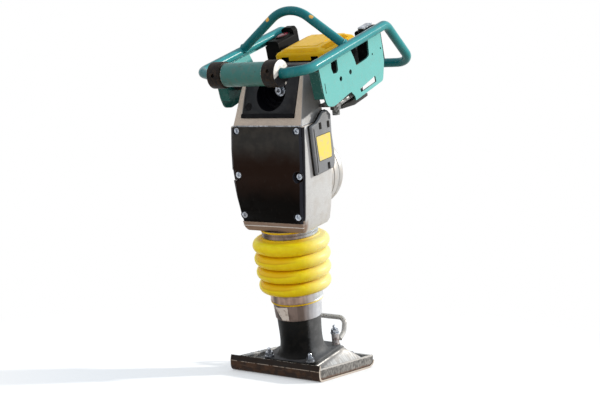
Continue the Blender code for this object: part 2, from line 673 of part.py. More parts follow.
def build_mounts(leg):
    """Rubber buffers that carry the handle frame, the cast arms below them and the tray's beams."""
    for side, sign in (("left", -1.0), ("right", 1.0)):
        buffer = [(0, 97.4), (16.0, 97.4), (16.0, 112.0), (20.0, 114.0), (20.0, 129.0), (17.0, 134.0),
                  (20.0, 139.0), (20.0, 152.0), (12.0, 152.2), (12.0, INSIDE), (0, INSIDE)]
        profile = [(radius, sign * x) for radius, x in buffer]
        piece("frame_buffer_" + side, turned(profile, "x", 12), leg, ((0.015, 0.015, 0.015), 0.7, 0.0),
              (0.0, BUFFER_T, BUFFER_S))
        arm = fillet([(44.0, 710.0), (61.0, 710.0), (140.0, 723.5), (140.0, 732.5), (60.0, 719.0),
                      (44.0, 719.0)], 2.0, 2)
        outline = [tuple(point) for point in arm]
        low, high = sorted((sign * 103.8, sign * 152.0))
        made = piece("mount_arm_" + side, prism(outline, low, high, "x"), leg, (CAST_GREY, 0.5, 0.6))
        stud = hex_stack([(14.0, 715.0, False), (14.0, 701.0, False), (11.0, 700.8, True),
                          (11.0, 687.0, True)])
        combine(made, stud, leg, (sign * 137.0, 66.0, 0.0), "UNION")
        beam = [(84.0, 699.0), (150.0, 698.0), (222.0, 710.0), (222.0, 718.0), (200.0, 718.0),
                (199.0, 756.0), (167.0, 751.0), (167.0, 716.5), (84.0, 706.0)]
        low, high = sorted((sign * 122.0, sign * 146.0))
        piece("tray_beam_" + side, prism(beam, low, high, "x"), leg, (SATIN_BLACK, 0.6, 0.0))


def rail_line():
    """Centre line of the closed handle rail, in the deck frame."""
    half = [(112.0, ROLLER_U, 0.0), (RAIL_X, -86.0, 0.0), (RAIL_X, 322.0, 0.0), (RAIL_X, 440.0, -142.0)]
    radii = [30.0, 40.0, 44.0, 48.0]
    return fillet(half + mirrored(half), radii + radii[::-1], 4)


def build_rail(leg, deck):
    """The bent handle rail and the lifting bow that stands on its sides."""
    look = (TEAL, 0.35, 0.0)
    piece("handle_rail", tube(rail_line(), RAIL_RADIUS, 12, closed=True), deck, look)
    foot = DECK_S + BOW_T * math.tan(DECK_TILT)
    line = fillet([(-RAIL_X, BOW_T, foot), (0.0, BOW_T, 979.0), (RAIL_X, BOW_T, foot)], 93.0, 9,
                  closed=False)
    bow = piece("lifting_bow", tube(line, BOW_RADIUS, 12), leg, look)
    for x in (-RAIL_X, RAIL_X):
        combine(bow, rod_shape(RAIL_RADIUS + GAP + 0.1, 0.0, 220.0, "t", 28), deck, (x, 0.0, 0.0))


def rail_underside(t):
    return DECK_S + t * math.tan(DECK_TILT) - (RAIL_RADIUS + GAP) / math.cos(DECK_TILT)


def build_side_plates(leg):
    """Cut-out side plates under the rails, each with a folded bracket at its front."""
    outline = [(-36.0, rail_underside(-36.0)), (292.0, rail_underside(292.0)), (298.0, 830.0),
               (301.0, 790.0), (287.0, 741.0), (133.0, 712.5), (130.0, 724.0), (112.0, 738.0),
               (98.0, 735.5), (44.0, 721.7), (20.0, 716.5), (-10.0, 721.0), (-22.0, 748.0)]
    radii = [0.0, 0.0, 30.0, 40.0, 14.0, 1.5, 7.0, 6.0, 0.0, 0.0, 25.0, 20.0, 40.0]
    plate_line = [tuple(point) for point in fillet(outline, radii, 3)]
    slot = fillet([(24.0, 826.0), (54.5, 831.0), (56.0, 803.0), (49.0, 797.0), (31.0, 797.0), (23.0, 812.0)],
                  [2.0, 1.0, 3.0, 3.0, 5.0, 4.0], 2)
    window = fillet([(127.0, 843.5), (221.5, 858.0), (221.0, 818.0), (208.0, 812.0), (150.0, 801.0),
                     (143.0, 818.0)], [1.0, 1.0, 5.0, 4.0, 3.0, 4.0], 2)
    low_window = fillet([(158.0, 738.0), (245.0, 760.0), (249.0, 744.0), (164.0, 729.0)], 2.5, 2)
    slit = fillet([(-12.5, 754.0), (-9.5, 754.0), (-12.5, 780.0), (-15.5, 780.0)], 1.3, 2)
    holes = [slot, window, low_window, slit]
    for t, s, radius in ((66.0, 779.3, 6.5), (116.7, 789.3, 6.5), (238.8, 818.5, 3.0), (286.7, 828.1, 3.0)):
        ring = [(t + radius * math.cos(a), s + radius * math.sin(a)) for a in arc_angles(0, 330, 11)]
        holes.append(ring)
    cut = [[tuple(point) for point in hole] for hole in holes]
    fold = [(-36.0, 812.0), (-31.5, 812.0), (-16.5, 741.0), (-21.0, 741.0)]
    for side, sign in (("left", -1.0), ("right", 1.0)):
        low, high = sorted((sign * PLATE_INNER, sign * PLATE_OUTER))
        plate = piece("side_plate_" + side, prism(plate_line, low, high, "x", cut), leg,
                      (TEAL, 0.35, 0.0))
        low, high = sorted((sign * 131.0, sign * (PLATE_INNER + 1.0)))
        combine(plate, prism(fold, low, high, "x"), leg, operation="UNION")


def build_roller(roller_axis):
    """Transport roller that spins on the front of the rail between two clamped collars."""
    barrel = [(ROLLER_RADIUS, -ROLLER_HALF), (ROLLER_RADIUS, ROLLER_HALF), (13.5, ROLLER_HALF),
              (13.5, 55.0), (26.0, 55.0), (26.0, -55.0), (13.5, -55.0), (13.5, -ROLLER_HALF)]
    piece("roller_tube", turned(barrel, "x", 24), roller_axis, (TEAL, 0.4, 0.0))
    near = ROLLER_HALF + 1.0
    for side, sign, turn in (("left", -1.0, -14.0), ("right", 1.0, -27.0)):
        ring = [(13.4, near), (COLLAR_RADIUS - 1.5, near), (COLLAR_RADIUS, near + 1.5),
                (COLLAR_RADIUS, COLLAR_END - 1.5), (COLLAR_RADIUS - 1.5, COLLAR_END), (13.4, COLLAR_END)]
        profile = [(radius, sign * x) for radius, x in ring]
        collar = piece("roller_collar_" + side, turned(profile, "x", 24), roller_axis,
                       ((0.02, 0.018, 0.016), 0.6, 0.0))
        combine(collar, rod_shape(4.8, -60.0, -22.0, "t", 12), roller_axis, (sign * 82.5, 0.0, 0.0),
                turn=math.radians(turn))


def build_battery(deck):
    """Open tray under the battery, the battery's case and its notched amber lid."""
    tray = piece("battery_tray", block((-84.0, 117.0, -112.0), (84.0, 316.0, -48.0)), deck,
                 (SATIN_BLACK, 0.6, 0.0))
    combine(tray, block((-80.0, 121.0, -108.0), (80.0, 312.0, 0.0)), deck)
    for low, high in ((-INSIDE, -83.0), (83.0, INSIDE)):
        combine(tray, block((low, 140.0, -112.0), (high, 190.0, -107.5)), deck, operation="UNION")
    case = block((-74.0, BATTERY_FRONT + 4.0, CASE_FLOOR), (74.0, BATTERY_REAR - 5.0, LID_BOTTOM - GAP))
    case_piece = piece("battery_case", case, deck, (SATIN_BLACK, 0.55, 0.0))
    edge = case_piece.modifiers.new("edge", "BEVEL")
    edge.width = 0.004
    edge.segments = 2

    rings = []
    for v, inset in ((LID_BOTTOM, 0.0), (-24.0, 0.0), (-18.0, 5.0), (-10.0, 26.0), (-9.0, 32.0)):
        outline = [(-LID_HALF_WIDTH + inset, BATTERY_FRONT + inset * 0.6),
                   (LID_HALF_WIDTH - inset, BATTERY_FRONT + inset * 0.6),
                   (LID_HALF_WIDTH - inset, BATTERY_REAR - inset * 0.6),
                   (-LID_HALF_WIDTH + inset, BATTERY_REAR - inset * 0.6)]
        rings.append([(point.x, point.y, v) for point in fillet(outline, 7.0, 3)])
    lid = piece("battery_lid", loft(rings), deck, (AMBER, 0.45, 0.0))
    for x in (-46.0, 46.0):
        combine(lid, block((x - 11.0, BATTERY_FRONT - 9.0, -60.0), (x + 11.0, BATTERY_FRONT + 9.0, -35.0)),
                deck)


def oval(half_length, half_width, steps=20):
    """Points (x, u) of an oval that is longer fore and aft."""
    return [(half_width * math.cos(a), half_length * math.sin(a))
            for a in arc_angles(0.0, 360.0 - 360.0 / steps, steps - 1)]


def build_controls(deck, button_axis, latch_axis):
    """Switch box with its red button on the left, lock box with the battery latch on the right."""
    section = [(-INSIDE, -72.0), (-112.0, -72.0), (-112.0, -9.0), (-118.0, -3.0), (-151.0, -3.0),
               (-151.0, -16.0), (-INSIDE, -16.0)]
    box = piece("switch_box", prism(section, 206.0, 298.0, "t"), deck, (SATIN_BLACK, 0.45, 0.0))
    rim = prism(oval(30.0, 15.5), -5.0, 0.5, "s")
    combine(box, rim, deck, (BUTTON_X, BUTTON_U, 0.0), "UNION")
    combine(box, prism(oval(26.0, 12.0), -14.0, 6.0, "s"), deck, (BUTTON_X, BUTTON_U, 0.0))
    rings = []
    for v, scale in ((-10.0, 1.0), (-0.5, 1.0), (1.6, 0.82), (2.4, 0.5)):
        rings.append([(x * scale, u * scale, v) for x, u in oval(25.4, 11.4)])
    piece("power_button", loft(rings), button_axis, ((0.35, 0.01, 0.02), 0.25, 0.0))

    section = [(INSIDE, -92.0), (114.0, -92.0), (114.0, 1.0), (118.0, 5.0), (150.0, 5.0), (150.0, -16.0),
               (INSIDE, -16.0)]
    piece("lock_box", prism(section, 239.0, 304.0, "t"), deck, (SATIN_BLACK, 0.45, 0.0))
    lever = fillet([(-4.0, -4.2), (38.0, -4.2), (46.0, 3.0), (38.0, 3.0), (4.0, 2.5), (-4.0, 2.0)],
                   [3.0, 1.0, 1.0, 2.0, 1.0, 2.5], 2)
    outline = [tuple(point) for point in lever]
    piece("battery_latch", prism(outline, -9.0, 9.0, "x"), latch_axis, (ZINC, 0.3, 1.0))


def build():
    clear_scene()
    ground = empty("ground_frame", None)
    leg = empty("leg_frame", None, (0.0, LEG_FOOT_Y, 0.0), LEAN)
    deck = empty("deck_frame", leg, (0.0, 0.0, DECK_S), DECK_TILT)
    slope = empty("slope_frame", leg, (0.0, SLOPE_T, SLOPE_S), -SLOPE)
    crank_axis = empty("crank_axis", leg, (0.0, 0.0, CRANK_S))
    pin_axis = empty("crank_pin_axis", leg, (0.0, 0.0, CRANK_S - CRANK_THROW))
    rotor_axis = empty("rotor_axis", leg, (0.0, 0.0, MOTOR_S))
    roller_axis = empty("roller_axis", deck, (0.0, ROLLER_U, 0.0))
    button_axis = empty("button_axis", deck, (BUTTON_X, BUTTON_U, 0.0))
    latch_axis = empty("latch_axis", deck, (LATCH_X, LATCH_U, LATCH_V))

    build_shoe(ground)
    build_leg(leg)
    build_bellows(leg)
    build_ram(leg)
    build_crankcase(leg)
    build_front_cover(leg)
    build_upper_casing(leg, slope)
    build_side_cover(leg)
    build_motor(leg, rotor_axis)
    build_crank(leg, crank_axis, pin_axis)
    build_mounts(leg)
    build_rail(leg, deck)
    build_side_plates(leg)
    build_roller(roller_axis)
    build_battery(deck)
    build_controls(deck, button_axis, latch_axis)


build()
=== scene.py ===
"""Battery tamping rammer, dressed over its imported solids.

Meshes are drawn in millimetres, in one of the machine's frames, and set into the scene in metres.
"""

import math

import bmesh
import bpy
from mathutils import Matrix, Vector, noise
from mathutils.geometry import tessellate_polygon


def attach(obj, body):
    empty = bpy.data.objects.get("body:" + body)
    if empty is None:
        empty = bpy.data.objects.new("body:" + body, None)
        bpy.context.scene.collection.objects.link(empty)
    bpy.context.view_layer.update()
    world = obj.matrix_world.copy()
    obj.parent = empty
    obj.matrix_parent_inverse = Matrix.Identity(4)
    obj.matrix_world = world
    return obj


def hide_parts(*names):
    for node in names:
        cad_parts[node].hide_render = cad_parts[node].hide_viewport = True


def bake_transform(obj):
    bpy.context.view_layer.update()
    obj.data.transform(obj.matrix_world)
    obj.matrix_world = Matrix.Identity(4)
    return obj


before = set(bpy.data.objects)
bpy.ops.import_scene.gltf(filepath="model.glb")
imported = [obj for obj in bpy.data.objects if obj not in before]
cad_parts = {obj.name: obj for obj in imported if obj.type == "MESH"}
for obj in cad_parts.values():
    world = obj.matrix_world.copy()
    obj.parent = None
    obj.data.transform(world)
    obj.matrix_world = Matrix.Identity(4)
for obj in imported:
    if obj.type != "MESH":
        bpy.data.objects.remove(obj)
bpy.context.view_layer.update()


# Studio. A floor that shows white but keeps the machine's shadow, and is brown as earth to the light
# that it sends back up. The sky is pale blue, and one warm lamp stands where the sun stood.
class Wire:
    """A socket of a node tree. Sums of values add Math nodes, and node() adds any other kind of node."""

    def __init__(self, tree, socket=None):
        self.tree = tree
        self.socket = socket

    def node(self, kind, settings=None, values=None, output=0):
        made = self.tree.nodes.new(kind)
        for name, setting in (settings or {}).items():
            setattr(made, name, setting)
        for name, value in (values or {}).items():
            socket = made.inputs[name]
            if isinstance(value, Wire):
                self.tree.links.new(value.socket, socket)
            elif socket.type == "RGBA":
                socket.default_value = (*value, 1.0)
            else:
                socket.default_value = value
        return Wire(self.tree, made.outputs[output]) if made.outputs else None

    def math(self, operation, first, second):
        return self.node("ShaderNodeMath", {"operation": operation}, {0: first, 1: second})

    def __add__(self, other):
        return self.math("ADD", self, other)

    def __radd__(self, other):
        return self.math("ADD", other, self)

    def __sub__(self, other):
        return self.math("SUBTRACT", self, other)

    def __rsub__(self, other):
        return self.math("SUBTRACT", other, self)

    def __mul__(self, other):
        return self.math("MULTIPLY", self, other)

    def __rmul__(self, other):
        return self.math("MULTIPLY", other, self)

    def __abs__(self):
        return self.math("ABSOLUTE", self, 0.0)


def ramp(value, low, high):
    """0 at low, 1 at high and smooth between them; low may be the larger of the two."""
    return value.node("ShaderNodeMapRange", {"interpolation_type": "SMOOTHSTEP"},
                      {"Value": value, "From Min": low, "From Max": high})


def new_paint(name):
    """An empty material, and the loose wire from which its nodes grow."""
    made = bpy.data.materials.new(name)
    made.use_nodes = True
    made.node_tree.nodes.clear()
    return made, Wire(made.node_tree)


def seen_plainly(start):
    """1 for rays from the camera and for those that metal or glass passes on, 0 for the light itself."""
    kinds = ("Is Camera Ray", "Is Glossy Ray", "Is Transmission Ray")
    camera_ray, glossy, through = (start.node("ShaderNodeLightPath", output=kind) for kind in kinds)
    return start.math("MAXIMUM", camera_ray, start.math("MAXIMUM", glossy, through))


FLOOR_SIZE, FLOOR_Z = 40.0, -0.0005
SHADOW_END, SHADOW_START = 1.3, 0.45
SUN_FROM = Vector((0.95, 0.92, 0.58))

floor_paint, start = new_paint("floor_paint")
reach = start.node("ShaderNodeVectorMath", {"operation": "LENGTH"},
                   {0: start.node("ShaderNodeTexCoord", output="Object")}, "Value")
matt = start.node("ShaderNodeBsdfDiffuse", values={"Color": (0.95, 0.95, 0.95)})
glow = start.node("ShaderNodeEmission", values={"Strength": 1.0})
earth = start.node("ShaderNodeBsdfDiffuse", values={"Color": (0.47, 0.37, 0.285)})
shadow = 0.72 * ramp(reach, SHADOW_END, SHADOW_START)
shown = start.node("ShaderNodeMixShader", values={0: shadow, 1: glow, 2: matt})
ground = start.node("ShaderNodeMixShader", values={0: seen_plainly(start), 1: earth, 2: shown})
start.node("ShaderNodeOutputMaterial", values={"Surface": ground})
bpy.ops.mesh.primitive_plane_add(size=FLOOR_SIZE, location=(0.0, 0.0, FLOOR_Z))
floor = bpy.context.object
floor.name = "floor"
floor.data.materials.append(floor_paint)

world = bpy.data.worlds.new("studio_sky")
bpy.context.scene.world = world
world.use_nodes = True
world.node_tree.nodes.clear()
start = Wire(world.node_tree)
sky = start.node("ShaderNodeBackground", values={"Color": (0.85, 0.92, 1.0), "Strength": 0.98})
white = start.node("ShaderNodeBackground", values={"Color": (1.0, 1.0, 1.0), "Strength": 1.0})
both = start.node("ShaderNodeMixShader", values={0: seen_plainly(start), 1: sky, 2: white})
start.node("ShaderNodeOutputWorld", values={"Surface": both})

lamp = bpy.data.lights.new("sun_side_lamp", "SUN")
lamp.energy = 3.0
lamp.angle = math.radians(3.0)
lamp.color = (1.0, 0.95, 0.87)
lamp_object = bpy.data.objects.new("sun_side_lamp", lamp)
bpy.context.scene.collection.objects.link(lamp_object)
lamp_object.rotation_euler = SUN_FROM.to_track_quat("Z", "Y").to_euler()


# Camera. It stands where the photograph's stood, found from pairs of points on the machine's two
# sides, and it is turned and tipped as that one was.
CAMERA_PLACE = (1.5917, -2.5161, 0.5649)
YAW_PITCH_ROLL = (32.69, 2.16, 1.17)
SENSOR_WIDTH, FOCAL_LENGTH = 36.0, 66.0

yaw, pitch, roll = (math.radians(degrees) for degrees in YAW_PITCH_ROLL)
ahead = Vector((-math.sin(yaw) * math.cos(pitch), math.cos(yaw) * math.cos(pitch), -math.sin(pitch)))
level = Vector((math.cos(yaw), math.sin(yaw), 0.0))
upright = level.cross(ahead)
right = math.cos(roll) * level + math.sin(roll) * upright
top = -math.sin(roll) * level + math.cos(roll) * upright
camera_data = bpy.data.cameras.new("photo_camera")
camera_data.sensor_width = SENSOR_WIDTH
camera_data.lens = FOCAL_LENGTH
camera = bpy.data.objects.new("photo_camera", camera_data)
bpy.context.scene.collection.objects.link(camera)
turn = Matrix((right, top, -ahead)).transposed().to_4x4()
camera.matrix_world = Matrix.Translation(CAMERA_PLACE) @ turn
bpy.context.scene.camera = camera
bpy.context.scene.view_settings.view_transform = "Standard"


# Sole of the tamping shoe. A hardened steel plate bent up at toe and heel, browned and scratched by
# the ground, with its lip leaning back over the toe. It is bolted up into the damping block.
MM = 0.001
GROUND = Matrix.Scale(MM, 4)
SHOE_HALF_WIDTH = 140.0
SOLE_THICKNESS = 5.0
SOLE_STEP = 5.0
CREASE_HEIGHT = 27.6


def in_frame(start, setting):
    """Millimetres in a frame of the machine, from the place that each point has at rest."""
    shift, turned_by, scale = setting.inverted().decompose()
    return start.node("ShaderNodeMapping", {"vector_type": "POINT"},
                      {"Vector": start.node("ShaderNodeTexCoord", output="Object"), "Location": shift,
                       "Rotation": turned_by.to_euler(), "Scale": scale})


def paint_on(name, setting):
    """A new material, its loose wire, and the place of its points in a frame of the machine."""
    made, start = new_paint(name)
    return made, start, in_frame(start, setting)


def axes(place):
    return [place.node("ShaderNodeSeparateXYZ", values={0: place}, output=axis) for axis in "XYZ"]


def clouds(place, size, detail=3.0, squeeze=(1.0, 1.0, 1.0)):
    """Soft blotches from 0 to 1, about size millimetres across; a small squeeze draws them out."""
    drawn = place.node("ShaderNodeVectorMath", {"operation": "MULTIPLY"}, {0: place, 1: squeeze})
    return place.node("ShaderNodeTexNoise", values={"Vector": drawn, "Scale": 1.0 / size, "Detail": detail})


def patches(place, size, detail, low, high, squeeze=(1.0, 1.0, 1.0)):
    """Blotches with a border: 0 where the clouds are below low, and 1 where they are above high."""
    return ramp(clouds(place, size, detail, squeeze), low, high)


def tint(share, first, second):
    """The colour first where share is 0, and second where it is 1."""
    return share.node("ShaderNodeMix", {"data_type": "RGBA"}, {0: share, 6: first, 7: second}, 2)


def coats(colour, *layers):
    """Lay tones over a colour, one after another, each given as its share and its tone."""
    for share, tone in layers:
        colour = tint(share, colour, tone)
    return colour


def edges(start, radius):
    """1 along the edges of a piece within radius millimetres of them, 0 on its flats."""
    eased = start.node("ShaderNodeBevel", {"samples": 4}, {"Radius": radius * MM})
    plain = start.node("ShaderNodeNewGeometry", output="Normal")
    alike = start.node("ShaderNodeVectorMath", {"operation": "DOT_PRODUCT"}, {0: eased, 1: plain}, "Value")
    return ramp(alike, 0.985, 0.90)


def chafed(place, radius, size, detail, low, high):
    """Edges worn bright within radius millimetres, in patches."""
    return edges(place, radius) * patches(place, size, detail, low, high)


def shade(start, colour, roughness, height=None, depth=0.0, metallic=0.0, specular=0.5, more=None):
    """Close a material, with a bump where height rises by depth millimetres."""
    values = {"Base Color": colour, "Roughness": roughness, "Metallic": metallic,
              "Specular IOR Level": specular, **(more or {})}
    if height is not None:
        values["Normal"] = start.node("ShaderNodeBump", values={"Distance": depth * MM, "Height": height})
    shader = start.node("ShaderNodeBsdfPrincipled", values=values)
    start.node("ShaderNodeOutputMaterial", values={"Surface": shader})


def fillet(points, radii, steps=8, closed=True):
    """Round the corners of a line of points, in two or three dimensions, with arcs."""
    corners = [Vector(point) for point in points]
    made = []
    for index, corner in enumerate(corners):
        radius = radii[index] if isinstance(radii, (list, tuple)) else radii
        if radius <= 0.0 or (not closed and index in (0, len(corners) - 1)):
            made.append(corner.copy())
            continue
        to_last = (corners[index - 1] - corner).normalized()
        to_next = (corners[(index + 1) % len(corners)] - corner).normalized()
        half = to_last.angle(to_next) / 2.0
        middle = corner + (to_last + to_next).normalized() * (radius / math.sin(half))
        first = corner + to_last * (radius / math.tan(half)) - middle
        last = corner + to_next * (radius / math.tan(half)) - middle
        sweep = first.angle(last)
        for step in range(steps + 1):
            share = step / steps
            arc = first * math.sin((1.0 - share) * sweep) + last * math.sin(share * sweep)
            made.append(middle + arc / math.sin(sweep))
    return made


def strip(line, thickness):
    """Outline of a sheet seen on edge: a line of points, and back along its copy set off to the left."""
    points = [Vector(point) for point in line]
    inner = []
    for index, point in enumerate(points):
        before = (point - points[max(index - 1, 0)]).normalized()
        after = (points[min(index + 1, len(points) - 1)] - point).normalized()
        before = after if index == 0 else before
        after = before if index == len(points) - 1 else after
        middle = (before + after).normalized()
        inner.append(point + Vector((-middle.y, middle.x)) * thickness / max(0.5, middle.dot(after)))
    return points + inner[::-1]


def join_rings(bm, low, high):
    """Faces between two rings of equal count, either of which may be a single point."""
    count = max(len(low), len(high))
    for step in range(count if len(low) + len(high) > 2 else 0):
        after = (step + 1) % count
        below = [low[0]] if len(low) == 1 else [low[step], low[after]]
        above = [high[0]] if len(high) == 1 else [high[after], high[step]]
        bm.faces.new(below + above)


def loft(rings):
    """Skin equal rings of points and close both ends."""
    bm = bmesh.new()
    made = [[bm.verts.new(point) for point in ring] for ring in rings]
    for low, high in zip(made, made[1:]):
        join_rings(bm, low, high)
    bm.faces.new(made[0])
    bm.faces.new(made[-1])
    return bm


def cut(bm, tool, operation="DIFFERENCE"):
    """Cut one closed mesh out of another, or join the two."""
    stand_ins = []
    for source in (bm, tool):
        bmesh.ops.recalc_face_normals(source, faces=source.faces)
        mesh = bpy.data.meshes.new("stand_in")
        source.to_mesh(mesh)
        source.free()
        stand_ins.append(bpy.data.objects.new("stand_in", mesh))
        bpy.context.scene.collection.objects.link(stand_ins[-1])
    step = stand_ins[0].modifiers.new("shape", "BOOLEAN")
    step.operation = operation
    step.solver = "EXACT"
    step.object = stand_ins[1]
    bpy.context.view_layer.update()
    made = bmesh.new()
    made.from_object(stand_ins[0], bpy.context.evaluated_depsgraph_get())
    for stand_in in stand_ins:
        bpy.data.objects.remove(stand_in)
    return made


def piece(name, bm, setting, body, paint, stands_for=(), edge=0.0, sharp=35.0):
    """Set a mesh on its body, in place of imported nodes; edge rounds its corners, in millimetres.
    A piece that stretches between two bodies has no body of its own here."""
    bmesh.ops.recalc_face_normals(bm, faces=bm.faces)
    bm.transform(setting)
    mesh = bpy.data.meshes.new(name)
    bm.to_mesh(mesh)
    bm.free()
    mesh.shade_smooth()
    mesh.materials.append(paint)
    made = bpy.data.objects.new(name, mesh)
    bpy.context.scene.collection.objects.link(made)
    if edge > 0.0:
        rounding = made.modifiers.new("rounded_edges", "BEVEL")
        rounding.width = edge * MM
        rounding.segments = 2
        rounding.limit_method = "ANGLE"
        rounding.angle_limit = math.radians(sharp)
        rounding.harden_normals = True
    else:
        mesh.set_sharp_from_angle(angle=math.radians(sharp))
    if body:
        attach(made, body)
    if stands_for:
        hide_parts(*stands_for)
    return made


sole_steel, start, place = paint_on("sole_steel", GROUND)
height = axes(place)[2]
rust = patches(place, 20.0, 6.0, 0.40, 0.62)
scratch = patches(place, 5.0, 4.0, 0.58, 0.68, (0.12, 1.0, 1.6))
# The lip above the crease is painted near black as the dark that it reflects, and the pale line along the
# crease is a painted highlight.
lip = ramp(height + 3.0 * clouds(place, 14.0), CREASE_HEIGHT + 0.6, CREASE_HEIGHT + 2.4)
bare = chafed(place, 1.8, 7.0, 4.0, 0.40, 0.56)
crease_painted_light = ramp(abs(height - CREASE_HEIGHT), 1.3, 0.4) * patches(place, 9.0, 4.0, 0.36, 0.5)
cut_end = ramp(abs(axes(place)[0]), SHOE_HALF_WIDTH - 0.7, SHOE_HALF_WIDTH - 0.2)
colour = coats(tint(rust, (0.030, 0.016, 0.010), (0.082, 0.043, 0.025)),
               (scratch * 0.45, (0.15, 0.11, 0.08)), (lip * 0.85, (0.008, 0.006, 0.005)),
               (crease_painted_light * 0.75, (0.46, 0.38, 0.31)), (bare, (0.42, 0.38, 0.33)),
               (cut_end * 0.8, (0.62, 0.56, 0.50)))
shade(start, colour, 0.46 + 0.25 * rust, clouds(place, 3.0, 6.0) + rust * 0.5, 0.35, metallic=0.2,
      specular=0.2)

heel = [(143.0, 18.0), (138.0, 8.0), (119.0, 0.0)]
toe = [(-132.0, 0.0), (-140.0, 3.5), (-145.0, 13.0), (-147.0, 28.0), (-144.0, 43.0)]
bends = [0.0, 1.5, 14.0, 11.0, 17.0, 36.0, 11.0, 0.0]
section = strip(fillet(list(reversed(heel + toe)), bends, 6, closed=False), SOLE_THICKNESS)
rings = []
for step in range(int(2.0 * SHOE_HALF_WIDTH / SOLE_STEP) + 1):
    x = -SHOE_HALF_WIDTH + step * SOLE_STEP
    ring = []
    for y, z in section:
        dent = noise.noise(Vector((x * 0.045, y * 0.03, z * 0.05)))
        nick = min(0.0, dent) * (1.6 if z > 40.0 else 0.0)
        ring.append((x, y + dent * 0.9 * min(1.0, z / 20.0), z + nick))
    rings.append(ring)
chip = loft([[(97.0, y, -1.0), (104.0, y, -1.0), (100.0, y, 4.0)] for y in (-150.0, -128.0)])
piece("sole_plate", cut(loft(rings), chip), GROUND, "foot", sole_steel, ["shoe_plate"],
      0.7, 40.0)


# Damping block between sole and saddle. Pressed grey fibre, laid in layers that fray at the cut
# edge, so a light fringe stands along its upper rim. It is held by the bolts through the shoe.
BLOCK_RIM = 33.0
SIDES = (("left", -1.0), ("right", 1.0))


def softened(node):
    """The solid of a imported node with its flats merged, ready for rounded edges, in metres."""
    bm = bmesh.new()
    bm.from_mesh(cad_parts[node].data)
    bmesh.ops.remove_doubles(bm, verts=bm.verts, dist=0.00001)
    bmesh.ops.dissolve_limit(bm, angle_limit=math.radians(0.8), verts=bm.verts, edges=bm.edges)
    return bm


def redrawn(name, node, body, paint, edge=0.0, sharp=30.0, without=None):
    """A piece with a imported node's own shape, its edges rounded and one shape cut out of it."""
    bm = softened(node) if without is None else cut(softened(node), without)
    return piece(name, bm, Matrix(), body, paint, [node], edge, sharp)


def prism(outline, low, high, along="x", holes=()):
    """Extrude an outline with holes; its points are on the other two axes, in order."""
    order = {"x": (2, 0, 1), "t": (0, 2, 1), "s": (0, 1, 2)}[along]
    loops = [[tuple(point)[:2] for point in loop] for loop in (outline, *holes)]
    bm = bmesh.new()
    ends = []
    for height in (low, high):
        made = []
        for loop in loops:
            ring = [(across, up, height) for across, up in loop]
            made.append([bm.verts.new([point[axis] for axis in order]) for point in ring])
        ends.append(made)
    corners = tessellate_polygon([[Vector((across, up, 0.0)) for across, up in loop] for loop in loops])
    for layer in ends:
        flat = [vert for ring in layer for vert in ring]
        for triangle in corners:
            bm.faces.new([flat[corner] for corner in triangle])
    for below, above in zip(*ends):
        join_rings(bm, below, above)
    bmesh.ops.dissolve_limit(bm, angle_limit=math.radians(0.5), verts=bm.verts, edges=bm.edges)
    return bm


def mirrored(sign, inner, outer):
    """Low and high end of a stretch of the x axis, on the side of this sign."""
    return sorted((sign * inner, sign * outer))


fibre, start, place = paint_on("damping_fibre", GROUND)
height = axes(place)[2]
layers = clouds(place, 2.0, 4.0, (1.0, 0.8, 0.22))
frayed = ramp(height + 6.0 * clouds(place, 5.0, 4.0), 32.5, 34.5)
damp = ramp(height + 10.0 * clouds(place, 16.0), 17.5, 12.5)
colour = coats(tint(ramp(layers, 0.35, 0.65), (0.062, 0.061, 0.059), (0.270, 0.265, 0.255)),
               (frayed, (0.50, 0.49, 0.47)), (damp * 0.8, (0.115, 0.060, 0.035)))
shade(start, colour, 0.92, layers + 0.4 * clouds(place, 1.2, 2.0), 0.7)
redrawn("damping_block", "shoe_block", "foot", fibre, 1.4, 35.0)

for side, sign in SIDES:
    crest = []
    for step in range(125):
        y = -126.0 + step * 2.1
        frill = noise.noise(Vector((y * 0.35, sign * 7.0, 3.0))) + 0.6 * noise.noise(Vector((y, sign, 9.0)))
        crest.append((y, BLOCK_RIM + 1.6 + 2.4 * frill))
    foot_line = [(crest[-1][0], BLOCK_RIM - 2.0), (crest[0][0], BLOCK_RIM - 2.0)]
    fringe = prism(foot_line + crest, *mirrored(sign, 137.0, 138.2))
    piece("block_fringe_" + side, fringe, GROUND, "foot", fibre, sharp=25.0)


# Saddle. Cast iron wedge that sets the leg at its lean, painted once and now brushed bright on its
# flanks by the ground. A small bolt through its rear slope holds it to the sole.
LEAN = math.radians(13.0)
LEG = Matrix.Translation((0.0, 0.005, 0.0)) @ Matrix.Rotation(LEAN, 4, "X") @ Matrix.Scale(MM, 4)
SADDLE_TOP = 43.0

saddle_iron, start, place = paint_on("brushed_saddle", GROUND)
brushed = clouds(place, 3.4, 5.0, (0.07, 1.0, 0.07))
grime = patches(place, 26.0, 5.0, 0.46, 0.64)
front = ramp(axes(place)[1], -60.0, -88.0)
colour = coats(tint(ramp(brushed, 0.3, 0.7), (0.38, 0.38, 0.375), (0.66, 0.66, 0.65)),
               (grime * 0.35, (0.24, 0.20, 0.17)), (front * 0.75, (0.040, 0.033, 0.028)))
# Under the leg's flange the saddle is darkened as painted shade.
shade_under_flange = ramp(axes(in_frame(start, LEG))[2] + 5.0 * clouds(place, 9.0, 4.0), 35.0, 41.0)
colour = tint(shade_under_flange * 0.85, colour, (0.17, 0.165, 0.16))
shade(start, colour, 0.38 + 0.22 * grime, brushed, 0.10, metallic=0.3)

